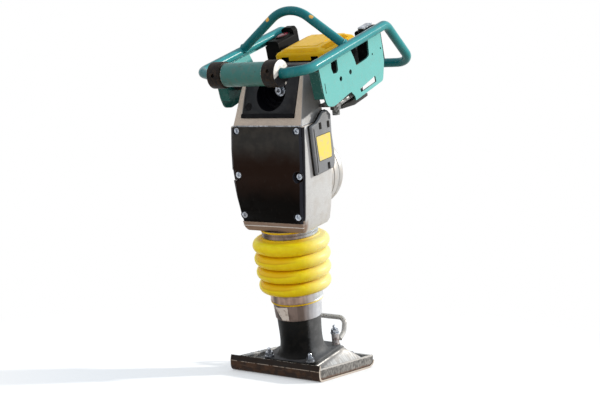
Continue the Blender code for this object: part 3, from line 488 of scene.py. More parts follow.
(front_y, front_z), (rear_y, rear_z) = ((LEG @ Vector((0.0, t, SADDLE_TOP)) / MM).yz for t in (-80.0, 84.0))
rise = (rear_z - front_z) / (rear_y - front_y)
bottom = fillet([(-94.0, -96.0), (94.0, -96.0), (122.0, 128.0), (-122.0, 128.0)], 14.0)
crown = fillet([(-80.0, front_y), (80.0, front_y), (82.0, rear_y), (-82.0, rear_y)], 12.0)
rings = [[(point.x, point.y, 22.3) for point in bottom]]
for degrees in (0.0, 18.0, 36.0, 54.0, 72.0, 90.0):
    swell, drop = math.cos(math.radians(degrees)), 4.5 * (1.0 - math.sin(math.radians(degrees)))
    rings.append([(point.x * (1.0 + 0.045 * swell), point.y * (1.0 + 0.035 * swell),
                   max(22.8, front_z + rise * (point.y - front_y) - drop)) for point in crown])
piece("saddle", loft(rings), GROUND, "foot", saddle_iron, ["shoe_saddle"], sharp=50.0)


# Bolts of the leg's flange. Galvanised washers, nuts and stud ends with turned threads; the rear pair
# is lifted by tall bosses. The same zinc is on the saddle's small bolt.
BOLT_FRONT = -65.0
BOLT_REAR = 68.0
BOLT_X = 65.0
BOLT_SEAT = 52.3
BOSS_HEIGHT = 31.0
SADDLE_BOLT = (84.0, 113.0, 33.5)


def around(count):
    """Cosine and sine of equal steps round a circle."""
    for step in range(count):
        angle = 2.0 * math.pi * step / count
        yield math.cos(angle), math.sin(angle)


def stack(levels, sides=48):
    """Steps up one axis with flat ends, each a radius, a height and, if it is six-sided, True."""
    rings = []
    for radius, height, *six_sided in levels:
        ring = []
        for across, up in around(sides):
            from_flat = (math.atan2(up, across) + math.pi / 6.0) % (math.pi / 3.0) - math.pi / 6.0
            reach = radius * math.cos(math.pi / 6.0) / math.cos(from_flat) if six_sided else radius
            ring.append((reach * across, reach * up, height))
        rings.append(ring)
    return loft(rings)


def moved(bm, at, degrees=0.0, axis="X"):
    """Turn a mesh about an axis through its origin and carry it to a place."""
    bm.transform(Matrix.Translation(at) @ Matrix.Rotation(math.radians(degrees), 4, axis))
    return bm


def gathered(parts):
    """Several closed meshes in one."""
    whole = bmesh.new()
    for part in parts:
        bmesh.ops.recalc_face_normals(part, faces=part.faces)
        mesh = bpy.data.meshes.new("part")
        part.to_mesh(mesh)
        part.free()
        whole.from_mesh(mesh)
        bpy.data.meshes.remove(mesh)
    return whole


def threaded(radius, low, high, pitch=1.5):
    """A stud end with rings for its thread and a chamfered tip."""
    levels = []
    for turn_index in range(int((high - low - 1.5) / pitch)):
        base = low + turn_index * pitch
        levels += [(radius - 0.7, base), (radius, base + pitch * 0.35),
                   (radius, base + pitch * 0.6)]
    return stack(levels + [(radius - 0.7, high - 1.4), (radius - 1.3, high)], 32)


def nut(corner, low, high):
    """A six-sided nut, its corners turned down at both ends."""
    flat = corner * 0.9
    return stack([(flat, low), (corner, low + 0.9, True), (corner, high - 0.9, True),
                  (flat, high)])


zinc, start, place = paint_on("galvanised_zinc", LEG)
spangle = clouds(place, 5.0, 3.0)
dull = patches(place, 12.0, 5.0, 0.48, 0.66)
colour = tint(ramp(spangle, 0.35, 0.65), (0.24, 0.27, 0.32), (0.62, 0.66, 0.72))
colour = tint(dull * 0.5, colour, (0.25, 0.22, 0.20))
shade(start, colour, 0.32 + 0.25 * dull, spangle, 0.03, metallic=0.95)

boss_steel, start, place = paint_on("boss_steel", LEG)
stain = patches(place, 8.0, 5.0, 0.42, 0.62)
colour = tint(stain, (0.46, 0.43, 0.42), (0.22, 0.175, 0.165))
shade(start, colour, 0.42, stain, 0.05, metallic=0.5)

for end, t, lift in (("front", BOLT_FRONT, 0.0), ("rear", BOLT_REAR, BOSS_HEIGHT)):
    for side, sign in SIDES:
        x, seat = sign * BOLT_X, BOLT_SEAT + lift
        parts = [stack([(12.0, seat), (12.0, seat + 2.6), (11.4, seat + 3.0)]),
                 nut(10.4, seat + 3.2, seat + 12.0), threaded(5.0, seat + 12.0, seat + 23.0)]
        if lift:
            boss = stack([(11.0, BOLT_SEAT), (11.0, BOLT_SEAT + 1.0),
                          (10.2, BOLT_SEAT + 2.0), (10.2, seat - 0.2)])
            piece("flange_boss_" + side, moved(boss, (x, t, 0.0)), LEG, "foot", boss_steel,
                  sharp=30.0)
        piece("flange_fastener_" + end + "_" + side, moved(gathered(parts), (x, t, 0.0), 11.0, "Z"), LEG,
              "foot", zinc, ["flange_bolt_" + end + "_" + side], sharp=30.0)

saddle_bolt = gathered([stack([(7.5, 0.0), (7.5, 1.6)]), nut(5.6, 1.6, 6.2)])
piece("saddle_bolt", moved(saddle_bolt, SADDLE_BOLT, -32.0), GROUND, "foot", zinc, sharp=30.0)


# Foot casting. Black painted iron, a square flange that sweeps up into a round neck, where dust greys the
# paint in patches; its sunlit right and the flange's upward faces are painted paler as light. It sits on
# the saddle, under its four nuts.
CASTING_TOP = 154.8
FLANGE_TOP = 52.0


def eased(points, steps=4):
    """More points along a smooth curve through these, which keeps its ends."""
    ends = [Vector(point) for point in (points[0], *points, points[-1])]
    made = []
    for first, second, third, fourth in zip(ends, ends[1:], ends[2:], ends[3:]):
        for step in range(steps):
            f = step / steps
            made.append(0.5 * ((2.0 * second) + (third - first) * f
                               + (2.0 * first - 5.0 * second + 4.0 * third - fourth) * f * f
                               + (3.0 * second - first - 3.0 * third + fourth) * f * f * f))
    return made + [ends[-1]]


def square_ring(half, height, power):
    """A round ring at power 2, and a square with rounded corners at a high power."""
    ring = []
    for across, up in around(96):
        radius = half / (abs(across) ** power + abs(up) ** power) ** (1.0 / power)
        ring.append((radius * across, radius * up, height))
    return ring


def bearing(place):
    """Degrees round an upright axis, from the machine's right (0) to its front (-90) and left (-180)."""
    x, t = axes(place)[:2]
    return place.math("ARCTAN2", t, x) * (180.0 / math.pi)


def facing(start):
    """The way that a surface faces, along each axis of the scene."""
    return axes(start.node("ShaderNodeNewGeometry", output="Normal"))


def sunlit_side(degrees, low, high):
    """1 round the right and the right rear, the side that the sun lights; colour laid there is painted
    light.
    """
    return ramp(degrees, low, high) * ramp(degrees, 176.0, 126.0)


cast_black, start, place = paint_on("black_casting_paint", LEG)
dust = patches(place, 18.0, 6.0, 0.45, 0.66)
# The sunlit right is painted paler as the sun's sheen on rough paint, and upward faces paler as painted
# light.
sunlit_sheen = sunlit_side(bearing(place) + 12.0 * clouds(place, 6.0, 5.0), -34.0, -20.0)
flange_top_light = ramp(facing(start)[2], 0.80, 0.95)
worn = chafed(place, 1.6, 8.0, 4.0, 0.42, 0.58)
sheen_speckle = tint(clouds(place, 1.8, 4.0), (0.070, 0.073, 0.077), (0.165, 0.168, 0.172))
colour = coats(tint(dust, (0.003, 0.003, 0.0028), (0.010, 0.009, 0.008)),
               (flange_top_light * 0.8, (0.06, 0.058, 0.06)),
               (sunlit_sheen * (0.75 + 0.25 * dust), sheen_speckle),
               (worn * 0.7, (0.22, 0.21, 0.20)))
shade(start, colour, 0.42 + 0.22 * dust, clouds(place, 2.4, 4.0), 0.22, specular=0.12)

levels = [(80.0, SADDLE_TOP + 0.3, 9.0), (81.0, SADDLE_TOP + 1.3, 9.0), (81.0, FLANGE_TOP - 1.4, 9.0),
          (80.4, FLANGE_TOP - 0.4, 9.0), (79.3, FLANGE_TOP, 9.0), (72.0, FLANGE_TOP + 0.1, 2.6)]
neck = [(68.5, FLANGE_TOP + 0.8), (64.0, 58.0), (59.8, 70.0), (57.6, 88.0), (57.6, 112.0),
        (59.5, CASTING_TOP)]
levels += [(radius, height, 2.0) for radius, height in eased(neck)]
levels += [(46.0, CASTING_TOP, 2.0), (46.0, 74.0, 2.0)]
piece("foot_casting", loft([square_ring(*level_at) for level_at in levels]), LEG, "foot", cast_black,
      ["leg_foot"], sharp=40.0)


# Grab loop behind the foot. One round steel bar, bent and welded to the casting at both ends, in a
# pale grey paint that is chipped in spots.
LOOP_RADIUS = 7.0


def tube(path, radii, sides=24, closed=False):
    """A round bar along a line of points, its rings turned with the least twist."""
    points = [Vector(point) for point in path]
    count = len(points)
    bm = bmesh.new()
    rings = []
    normal = None
    for index, point in enumerate(points):
        ahead = points[(index + 1) % count] if closed or index < count - 1 else point
        behind = points[index - 1] if closed or index > 0 else point
        along = ((ahead - point).normalized() + (point - behind).normalized()).normalized()
        normal = along.orthogonal().normalized() if normal is None else normal
        normal = (normal - along * normal.dot(along)).normalized()
        side = along.cross(normal)
        radius = radii[index] if isinstance(radii, list) else radii
        rings.append([bm.verts.new(point + (normal * across + side * up) * radius)
                      for across, up in around(sides)])
    for low, high in zip(rings, rings[1:]):
        join_rings(bm, low, high)
    if closed:
        gaps = [(vert.co - rings[0][0].co).length for vert in rings[-1]]
        shift = gaps.index(min(gaps))
        join_rings(bm, rings[-1][shift:] + rings[-1][:shift], rings[0])
    else:
        bm.faces.new(rings[0])
        bm.faces.new(rings[-1])
    return bm


loop_grey, start, place = paint_on("loop_grey_paint", LEG)
chipped = patches(place, 5.0, 5.0, 0.60, 0.66)
colour = tint(clouds(place, 20.0), (0.42, 0.41, 0.39), (0.58, 0.575, 0.56))
colour = tint(chipped * 0.8, colour, (0.10, 0.075, 0.06))
shade(start, colour, 0.36 + 0.3 * chipped, 1.0 - chipped, 0.12, metallic=0.25, more={"Coat Weight": 0.3})

half_loop = [(66.0, 88.0, 60.0), (67.0, 112.0, 72.0), (67.0, 124.0, 108.0)]
line = half_loop + [(-x, t, s) for x, t, s in reversed(half_loop)]
bar = tube(fillet(line, 18.0, 10, closed=False), LOOP_RADIUS, 28)
piece("grab_loop", bar, LEG, "foot", loop_grey, ["foot_loop"])


# Steel band round the leg's tube. Turned steel, painted brown-grey in front as the ground's reflection and
# pale on its sunlit right, with its spigot for the bellows. A plain white paper label is glued round its
# front, torn along its edges.
def turned(profile, along="s", sides=96):
    """Turn a closed profile of (radius, height) points about an axis."""
    first, second, third = {"x": (1, 2, 0), "t": (0, 2, 1), "s": (0, 1, 2)}[along]
    bm = bmesh.new()
    rings = []
    for radius, height in profile:
        ring = []
        for across, up in around(sides if radius > 0.0 else 1):
            point = [0.0, 0.0, 0.0]
            point[first], point[second], point[third] = radius * across, radius * up, height
            ring.append(bm.verts.new(point))
        rings.append(ring)
    for low, high in zip(rings, rings[1:] + rings[:1]):
        join_rings(bm, low, high)
    return bm


def scaled(colour, factor):
    return tuple(tone * factor for tone in colour)


def steel_look(place, brown, pale, grain):
    """Colour, dullness and grain of turned steel: painted brown in front as the ground's reflection, with a
    few streaks of painted reflection, darkest on the left front, and painted pale and speckled on its
    sunlit right."""
    rings = clouds(place, grain, 4.0, (0.06, 0.06, 1.0))
    dull = patches(place, 24.0, 5.0, 0.44, 0.64)
    reflection_streaks = clouds(place, 11.0, 3.0, (1.0, 1.0, 0.03))
    degrees = bearing(place)
    specks = clouds(place, 2.6, 4.0)
    colour = tint(ramp(reflection_streaks, 0.40, 0.62), brown, scaled(brown, 1.45))
    dark_reflection_band = ramp(abs(degrees + 112.0) + 14.0 * reflection_streaks, 20.0, 10.0)
    colour = coats(colour, (dark_reflection_band * 0.8, scaled(brown, 0.25)), (dull * 0.35, scaled(brown, 0.6)))
    sunlit_share = sunlit_side(degrees + 18.0 * reflection_streaks, -42.0, 12.0)
    return tint(sunlit_share, colour, tint(specks, scaled(pale, 0.8), pale)), dull, rings


band_steel, start, place = paint_on("band_steel", LEG)
# steel_look paints the ground's reflection in front and the sun on the right.
colour, dull, rings_cut = steel_look(place, (0.135, 0.098, 0.082), (0.66, 0.67, 0.70), 2.0)
s = axes(place)[2]
degrees = bearing(place)
torn = 4.0 * clouds(place, 6.0, 4.0) - 2.0
slant = (degrees + 104.0) * 0.161
rise_of_foot = (degrees + 98.0) * 0.02
paper = (ramp(degrees + torn + (s - 160.0) * 0.66, -103.0, -102.0) * ramp(degrees + torn, -81.0, -82.0)
         * ramp(s + torn - slant, 193.4, 192.7) * ramp(s + torn - rise_of_foot, 157.6, 158.3))
smudge = patches(place, 9.0, 5.0, 0.50, 0.68)
colour = tint(paper, colour, tint(smudge * 0.7, (0.78, 0.72, 0.66), (0.36, 0.29, 0.25)))
shade(start, colour, 0.38 + 0.2 * dull + 0.35 * paper, rings_cut * 0.25 * (1.0 - paper) + paper, 0.18,
      metallic=0.9 * (1.0 - paper))

band = [(54.4, 155.2), (61.6, 155.2), (62.6, 156.4), (65.6, 196.6), (66.0, 198.6), (65.2, 199.5),
        (63.0, 199.6), (63.0, 229.0), (54.4, 229.0)]
piece("leg_sleeve", turned(band), LEG, "foot", band_steel, ["leg_band"], sharp=28.0)


# Hose clamp on the bellows' hem. A zinc strap with rolled edges, drawn tight by a worm screw in a
# small housing behind the leg.
WORM_T, WORM_S = 74.5, 216.0

strap = [(66.9, 204.4), (70.3, 204.4), (71.0, 205.2), (70.7, 206.6), (70.1, 207.4), (70.1, 224.4),
         (70.7, 225.2), (71.0, 226.6), (70.3, 227.4), (66.9, 227.4)]
worm = [moved(stack([(4.6, -13.0), (5.0, -12.0), (5.0, 12.0), (4.6, 13.0)]),
              (0.0, WORM_T, WORM_S), 90.0, "Y"),
        moved(nut(6.2, 0.0, 6.0), (13.5, WORM_T, WORM_S), 90.0, "Y"),
        prism([(-10.0, 69.5), (10.0, 69.5), (10.0, 73.0), (-10.0, 73.0)], 207.5, 224.5, "s")]
clamp_steel, start, place = paint_on("clamp_steel", LEG)
# steel_look paints the ground's reflection in front and the sun on the right.
colour, dull, rings_cut = steel_look(place, (0.27, 0.185, 0.14), (0.62, 0.65, 0.67), 2.0)
shade(start, colour, 0.30 + 0.2 * dull, rings_cut, 0.04, metallic=0.95)
piece("hem_clamp", gathered([turned(strap)] + worm), LEG, "foot", clamp_steel, ["bellows_clamp"],
      sharp=28.0)


# Bellows. Moulded in yellow polyurethane with four round lobes, some dust in its creases, where darker
# amber is painted as shade, and paler on its sunlit right as painted light; its hem is under the clamp and
# its neck under the collar. It stretches with the ram.
LOBE_FIRST, LOBE_PITCH, LOBE_RADIUS = 248.0, 37.0, 17.5
BELLOWS_RADII = (97.0, 100.0, 102.0, 103.0)
BELLOWS_TOP = 381.5

bellows_yellow, start, place = paint_on("bellows_polyurethane", LEG)
x, t, s = axes(place)
degrees = bearing(place)
radius = start.math("SQRT", x * x + t * t, 0.0)
# Darker amber in the creases is painted shade.
crease_painted_light = ramp(radius, 93.0, 83.0)
mould = clouds(place, 14.0, 4.0)
dust = ramp(clouds(place, 20.0, 6.0) + crease_painted_light * 0.18, 0.55, 0.78)
streak = patches(place, 10.0, 4.0, 0.58, 0.74, (1.0, 1.0, 0.25))
sunlit_pale = sunlit_side(degrees + 10.0 * mould, -42.0, 8.0)
colour = coats(tint(ramp(mould, 0.3, 0.7), (0.88, 0.67, 0.006), (0.94, 0.76, 0.012)),
               (crease_painted_light * 0.75, (0.78, 0.43, 0.004)), (dust * 0.18, (0.55, 0.42, 0.06)),
               (streak * 0.12, (0.60, 0.38, 0.01)))
# The amber band in the lower folds and the darker line along it are painted shade; the pale right is
# painted sunlight.
half_pitch = 0.5 * LOBE_PITCH
from_middle = start.math("FLOORED_MODULO", s - (LOBE_FIRST - half_pitch), LOBE_PITCH) - half_pitch
in_fold = from_middle - 12.0 * ramp(degrees, -116.0, -146.0) - 3.0 * ramp(degrees, -90.0, -50.0)
low_fold_shade = ramp(s, 352.0, 348.0) * ramp(degrees, -44.0, -74.0) * ramp(degrees, -152.0, -140.0)
colour = coats(colour, (ramp(in_fold, 2.0, 4.5) * low_fold_shade * 0.85, (0.84, 0.50, 0.003)),
               (ramp(abs(in_fold - 4.0), 3.4, 0.4) * low_fold_shade * 0.35, (0.50, 0.29, 0.002)),
               (sunlit_pale * 0.75, (0.80, 0.745, 0.37)))
shade(start, colour, 0.38 + 0.2 * dust, clouds(place, 1.6, 3.0) * 0.3 + mould, 0.12, specular=0.16,
      more={"Subsurface Weight": 0.10, "Subsurface Radius": (0.005, 0.003, 0.0004)})

outer = [(69.2, 199.8), (70.0, 200.4), (70.2, 202.4), (69.0, 203.7), (66.6, 204.0), (66.6, 228.0),
         (68.5, 229.5)]
for lobe, reach_out in enumerate(BELLOWS_RADII):
    middle = LOBE_FIRST + lobe * LOBE_PITCH
    for step in range(19):
        angle = math.radians(-87.0 + 174.0 * step / 18)
        outer.append((reach_out - LOBE_RADIUS * (1.0 - math.cos(angle)),
                      middle + LOBE_RADIUS * math.sin(angle)))
outer += [(81.0, 378.3), (79.3, 378.8), (79.3, BELLOWS_TOP - 0.6), (78.7, BELLOWS_TOP)]
bore = [(70.4, BELLOWS_TOP), (70.4, 365.0), (79.0, 358.0), (75.0, 240.0), (63.3, 232.0), (63.3, 199.8)]
lip = turned([(72.0, 397.6), (75.7, 397.6), (77.0, 398.8), (77.0, 401.2), (75.7, 402.4), (72.0, 402.4)])
piece("bellows_lip", lip, LEG, "machine", bellows_yellow, sharp=50.0)
bellows = piece("bellows_moulding", turned(outer + bore, sides=144), LEG, None, bellows_yellow,
                ["bellows"], sharp=60.0)
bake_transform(bellows)


# Collar over the bellows' neck. Turned steel, bright enough to mirror the yellow below it, pressed
# up against the crankcase.
bright_steel, start, place = paint_on("turned_steel", LEG)
# steel_look paints the ground's reflection in front and the sun on the right.
colour, dull, rings_cut = steel_look(place, (0.17, 0.125, 0.10), (0.62, 0.66, 0.68), 1.6)
shade(start, colour, 0.24 + 0.2 * dull, rings_cut, 0.05, metallic=1.0)

collar = [(58.0, 367.0), (70.0, 367.0), (70.0, 382.0), (74.4, 382.2), (75.0, 383.0), (75.0, 390.0),
          (74.0, 391.0), (74.0, 392.6), (75.0, 393.6), (75.0, 403.0), (74.4, 403.7), (58.0, 403.7)]
piece("neck_collar", turned(collar), LEG, "machine", bright_steel, ["bellows_collar"], sharp=28.0)


# Ram and its springs, inside the leg. Two coils of round spring wire, one each side of the piston's
# plate; the piston slides in a ground guide cylinder under the crankcase.
spring_steel, start, place = paint_on("oiled_spring_steel", LEG)
# steel_look paints the ground's reflection in front and the sun on the right.
colour, dull, rings_cut = steel_look(place, (0.09, 0.085, 0.085), (0.16, 0.16, 0.17), 1.5)
shade(start, colour, 0.3 + 0.2 * dull, rings_cut, 0.05, metallic=1.0)


def dress(paint, *nodes):
    """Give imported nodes, whose shape is right as it is, their finish."""
    for node in nodes:
        for material_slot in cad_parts[node].material_slots:
            material_slot.material = paint


def coil(low, high, turns=4, coil_radius=35.0, wire=4.5, steps=32):
    """One unbroken helix between two seats."""
    start_s = low + wire + 0.2
    climb = high - low - 2.0 * wire - 0.4
    line = []
    for step in range(turns * steps + 1):
        angle = 2.0 * math.pi * step / steps
        line.append((coil_radius * math.cos(angle), coil_radius * math.sin(angle),
                     start_s + climb * step / (turns * steps)))
    return tube(line, wire, 16)


for level_name, low, high, bodies in (("lower", 74.3, 179.7, ("foot", "machine")),
                                      ("upper", 188.3, 289.7, ("machine", "foot"))):
    made = piece("ram_coil_" + level_name, coil(low, high), LEG, None, spring_steel,
                 ["ram_spring_" + level_name])
    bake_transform(made)
dress(bright_steel, "leg_tube", "guide_cylinder", "guide_piston", "wrist_pin", "connecting_rod",
      "crank_gear", "crank_bearing", "rotor")


# Crankcase. Aluminium casting with a fine grain; its front is painted sand-warm as shade with the ground's
# bounce, its right flank a cooler grey, and the side plate's shadow is painted on the flank. In front an
# apron with a cast lip closes it below the cover, and a thin ground seam parts it from the upper casing.
def rounded_box(half, low, high, front_radius, rear_radius):
    """Plan of a housing: x from -half to half, t from low to high."""
    corners = [(-half, low), (half, low), (half, high), (-half, high)]
    return fillet(corners, [front_radius] * 2 + [rear_radius] * 2, 6)


def block(low, high):
    """A box between two corners."""
    return prism([(low[0], low[1]), (high[0], low[1]), (high[0], high[1]), (low[0], high[1])],
                 low[2], high[2], "s")


def turned_to_side(start):
    """1 where a surface faces the machine's right, 0 in front and -1 on its left."""
    return facing(start)[0]


APRON_LEVELS = ((405.2, 86.8, -66.3), (413.5, 91.6, -71.2), (418.2, 92.8, -72.4), (418.9, 93.4, -74.6),
                (420.5, 93.6, -74.8), (421.2, 93.0, -73.2), (430.5, 94.6, -74.6))
APRON_REAR = -61.0
LIP_S = 419.7
COVER_LOW, COVER_HIGH = 437.0, 678.0
CASING_TOP = 808.0
BLACK_JOINT_AND_SHADE = (0.016, 0.016, 0.021)

cast_alloy, start, place = paint_on("cast_aluminium", LEG)
x, t, s = axes(place)
grain = clouds(place, 1.5, 3.0)
flecks = patches(place, 2.6, 5.0, 0.58, 0.66)
stain = patches(place, 34.0, 6.0, 0.46, 0.66)
worn = chafed(place, 1.4, 9.0, 4.0, 0.38, 0.55)
soil = ramp(s + 16.0 * clouds(place, 18.0, 4.0), 452.0, 432.0) * ramp(t, -50.0, -62.0)
flank = ramp(turned_to_side(start), 0.35, 0.80)
# Front and flank tones are shaded and sunlit copies: the warm front tone is painted shade with ground
# bounce.
shaded_front_tone = tint(ramp(grain, 0.3, 0.7), (0.54, 0.455, 0.385), (0.68, 0.585, 0.49))
sunlit_flank_tone = tint(ramp(grain, 0.3, 0.7), (0.46, 0.475, 0.485), (0.61, 0.625, 0.635))
lip_line = ramp(abs(s - LIP_S), 1.5, 0.7) * ramp(t, -72.0, -73.4)
# A shadow of the side plate is painted on the flank.
plate_shadow = ramp(s - 0.18 * t, 702.0, 706.0) * flank * ramp(x, 112.5, 111.5)
behind_cover = ramp(facing(start)[1], -0.45, -0.70) * ramp(s, COVER_LOW, COVER_LOW + 3.0)
behind_cover = behind_cover * ramp(s, COVER_HIGH, COVER_HIGH - 1.5)
# The black rim behind the cover is a joint; the dark band at the casing's top is painted shade.
joint = start.math("MAXIMUM", behind_cover, ramp(s, CASING_TOP - 1.5, CASING_TOP))
colour = coats(tint(flank, shaded_front_tone, sunlit_flank_tone), (flecks * 0.45, (0.36, 0.35, 0.34)),
               (stain * 0.22, (0.40, 0.36, 0.32)), (soil * 0.9, (0.25, 0.165, 0.12)),
               (lip_line * 0.9, (0.82, 0.79, 0.74)), (plate_shadow * 0.75, (0.135, 0.14, 0.145)),
               (joint, BLACK_JOINT_AND_SHADE), (worn * 0.6 * (1.0 - behind_cover), (0.84, 0.84, 0.83)))
shade(start, colour, 0.55 + 0.12 * stain, grain + 0.5 * flecks, 0.16, metallic=0.1, specular=0.3)


def open_pocket():
    """Space round the left middle screw, out through the flank."""
    bm = block((-130.0, -130.0, 539.5), (-98.0, -64.5, 567.5))
    bm.transform(LEG)
    return bm


redrawn("crankcase_casting", "crankcase", "machine", cast_alloy, 1.3, 40.0, open_pocket())
apron = loft([[(-half, t, s), (half, t, s), (half, APRON_REAR, s), (-half, APRON_REAR, s)]
              for s, half, t in APRON_LEVELS])
piece("crankcase_apron", apron, LEG, "machine", cast_alloy, edge=0.5)
seam = prism(rounded_box(107.2, -56.3, 64.5, 5.5, 14.5), 679.3, 681.6, "s",
             [rounded_box(100.0, -49.0, 57.0, 3.0, 8.0)])
piece("casing_seam", seam, LEG, "machine", zinc, edge=0.4)


# Front cover. Dished black moulding on the crankcase's front, satin, painted paler on its upper half where
# the sky falls, browner and darker low down as painted ground reflection and shade, and bluish on its side
# chamfer as painted sky sheen. Six socket screws hold it, sunk in round pockets.
SCREWS = {"top": (92.2, 668.4, -53.5), "middle": (94.4, 553.5, -64.5), "low": (83.2, 449.0, -73.0)}

cover_black, start, place = paint_on("satin_black_cover", LEG)
x, t, s = axes(place)
# The paler dust tone is laid thicker on the upper half as painted light.
dust = ramp(clouds(place, 22.0, 6.0) + 0.1 * ramp(s, 480.0, 660.0), 0.48, 0.72)
scuff = patches(place, 6.0, 5.0, 0.63, 0.70, (1.0, 1.0, 0.35))
rubbed = chafed(place, 1.6, 9.0, 4.0, 0.36, 0.54)
# The lower half is darkened and browned as painted shade and ground reflection, the chamfer tinted blue as
# painted sky sheen.
lower_half_shade = ramp(s + 40.0 * clouds(place, 40.0, 4.0), 570.0, 500.0)
ground_reflection_brown = ramp(s + 40.0 * clouds(place, 40.0, 4.0), 660.0, 600.0)
chamfer_sky_sheen = ramp(turned_to_side(start), 0.25, 0.45)
colour = coats(tint(dust, (0.036, 0.035, 0.033), (0.050, 0.047, 0.043)), (ground_reflection_brown, (0.018, 0.009, 0.006)),
               (lower_half_shade, (0.0022, 0.0015, 0.0010)), (scuff * 0.10, (0.060, 0.055, 0.050)),
               (chamfer_sky_sheen * 0.9, (0.030, 0.033, 0.044)), (rubbed * 0.35, (0.16, 0.165, 0.18)))
shade(start, colour, 0.42 + 0.2 * dust, clouds(place, 1.4, 2.0), 0.07, specular=0.04)
redrawn("cover_moulding", "front_cover", "machine", cover_black, 0.9, without=open_pocket())

for level_name, (x, s, floor_t) in SCREWS.items():
    for side, sign in SIDES:
        head = [(8.8, 0.3), (8.8, 5.0), (8.5, 5.6), (7.9, 6.0), (4.9, 6.0),
                (4.4, 5.4, True), (4.4, 2.5, True)]
        name = level_name + "_" + side
        screw = moved(stack(head), (sign * x, floor_t, s), 90.0)
        piece("socket_screw_" + name, screw, LEG, "machine", zinc, ["cover_screw_" + name],
              sharp=30.0)


# Upper casing. The same aluminium casting, drawn in towards the handle and leaning back in front,
# over the crankcase.
redrawn("upper_casting", "upper_casing", "machine", cast_alloy, 1.8, 40.0)


# Front panel. Satin black inset of the upper casing, with a stepped round well and a small slatted
# vent at its lower left. One large socket bolt, set in a round washer, closes the well's floor.
WELL_S = 759.0
SLOPE = LEG @ Matrix.Translation((0.0, -19.6, WELL_S)) @ Matrix.Rotation(math.radians(-24.5), 4, "X")
WELL_STEPS = ((44.0, 5.0), (36.0, 15.0), (28.0, 27.0))
VENT_X, VENT_UP, VENT_RADIUS = -64.0, -35.0, 10.5
SLAT_PITCH, SLAT_HALF = 3.6, 0.8


def drum(radius, low, high, sides=96):
    """A round bar along the leg's t axis."""
    return turned([(0.0, low), (radius, low), (radius, high), (0.0, high)], "t", sides)


panel_black, start, place = paint_on("satin_panel_paint", LEG)
dust = patches(place, 16.0, 6.0, 0.46, 0.70)
rubbed = chafed(place, 1.2, 7.0, 4.0, 0.40, 0.56)
inward, up = axes(in_frame(start, SLOPE))[1:]
# The well's sunken faces and the strip below the panel are painted near black as shade.
recess_shade = start.math("MAXIMUM", ramp(inward, 1.7, 2.4), ramp(up, -54.6, -55.4))
colour = coats(tint(dust, (0.022, 0.022, 0.025), (0.036, 0.035, 0.036)),
               (rubbed * 0.45, (0.13, 0.13, 0.13)), (recess_shade, (0.0020, 0.0020, 0.0040)))
shade(start, colour, 0.44 + 0.2 * dust, clouds(place, 1.3, 2.0), 0.06, specular=0.12)

on_slope = SLOPE.inverted() @ LEG @ Matrix.Translation((0.0, 0.0, WELL_S))


def on_panel(bm):
    bm.transform(on_slope)
    return bm


panel = cut(block((-79.0, -8.0, -54.5), (79.0, 7.4, 54.0)), on_panel(drum(48.0, -60.0, 33.0)), "UNION")
panel = cut(panel, block((-90.0, -110.0, -75.0), (90.0, 1.2, 75.0)))
for radius, depth in WELL_STEPS:
    panel = cut(panel, on_panel(drum(radius, -90.0, depth)))
panel = cut(panel, moved(drum(VENT_RADIUS, -5.0, 4.5, 48), (VENT_X, 0.0, VENT_UP)))
piece("panel_inset", panel, SLOPE, "machine", panel_black, ["front_panel"], 0.7, 30.0)

slats = []
for step in range(5):
    across = SLAT_PITCH * (step - 2)
    half_height = math.sqrt((VENT_RADIUS - 0.3) ** 2 - across ** 2) - 0.4
    slats.append(block((VENT_X + across - SLAT_HALF, 1.8, VENT_UP - half_height),
                       (VENT_X + across + SLAT_HALF, 4.6, VENT_UP + half_height)))
sill = block((-80.8, -4.0, -65.2), (80.8, 7.6, -55.2))
piece("panel_sill", sill, SLOPE, "machine", panel_black)
piece("vent_slats", gathered(slats), SLOPE, "machine", panel_black, edge=0.3)

washer = stack([(15.5, 0.0), (15.5, 2.6), (14.9, 3.0), (10.0, 3.0)])
head = stack([(9.5, 2.9), (9.5, 10.6), (9.0, 11.5), (5.2, 11.5), (4.6, 10.9, True), (4.6, 5.7, True)])
bolt = moved(gathered([washer, head]), (0.0, 26.7, WELL_S), 90.0)
piece("well_bolt", bolt, LEG, "machine", zinc, ["panel_bolt"], sharp=30.0)


# Side cover. Grey moulded plastic with a leathery grain, clipped to the crankcase's right flank over
# a black lipped gasket. A plain yellow plate is stuck on its middle.
COVER_FACE = 126.7
CLIPS = ((-1.6, 670.6, 1.0), (37.5, 668.3, 1.0), (23.0, 564.2, -1.0))

grey_plastic, start, place = paint_on("grained_grey_plastic", LEG)
pits = clouds(place, 1.6, 3.0)
faded = clouds(place, 30.0, 4.0)
specks = patches(place, 2.2, 5.0, 0.60, 0.68)
colour = tint(faded, (0.125, 0.135, 0.150), (0.200, 0.210, 0.225))
colour = tint(specks * 0.5, colour, (0.40, 0.41, 0.42))
shade(start, colour, 0.55, pits, 0.2)

gasket_rubber, start, place = paint_on("black_rubber", LEG)
dust = patches(place, 9.0, 6.0, 0.45, 0.70)
colour = tint(dust, (0.004, 0.004, 0.004), (0.020, 0.018, 0.016))
shade(start, colour, 0.68 + 0.15 * dust, clouds(place, 1.5, 3.0), 0.1, specular=0.15)

plate_yellow, start, place = paint_on("plain_yellow_plate", LEG)
faded = patches(place, 12.0, 5.0, 0.40, 0.66)
colour = tint(faded, (0.80, 0.63, 0.10), (0.66, 0.56, 0.22))
shade(start, colour, 0.5, faded, 0.03)

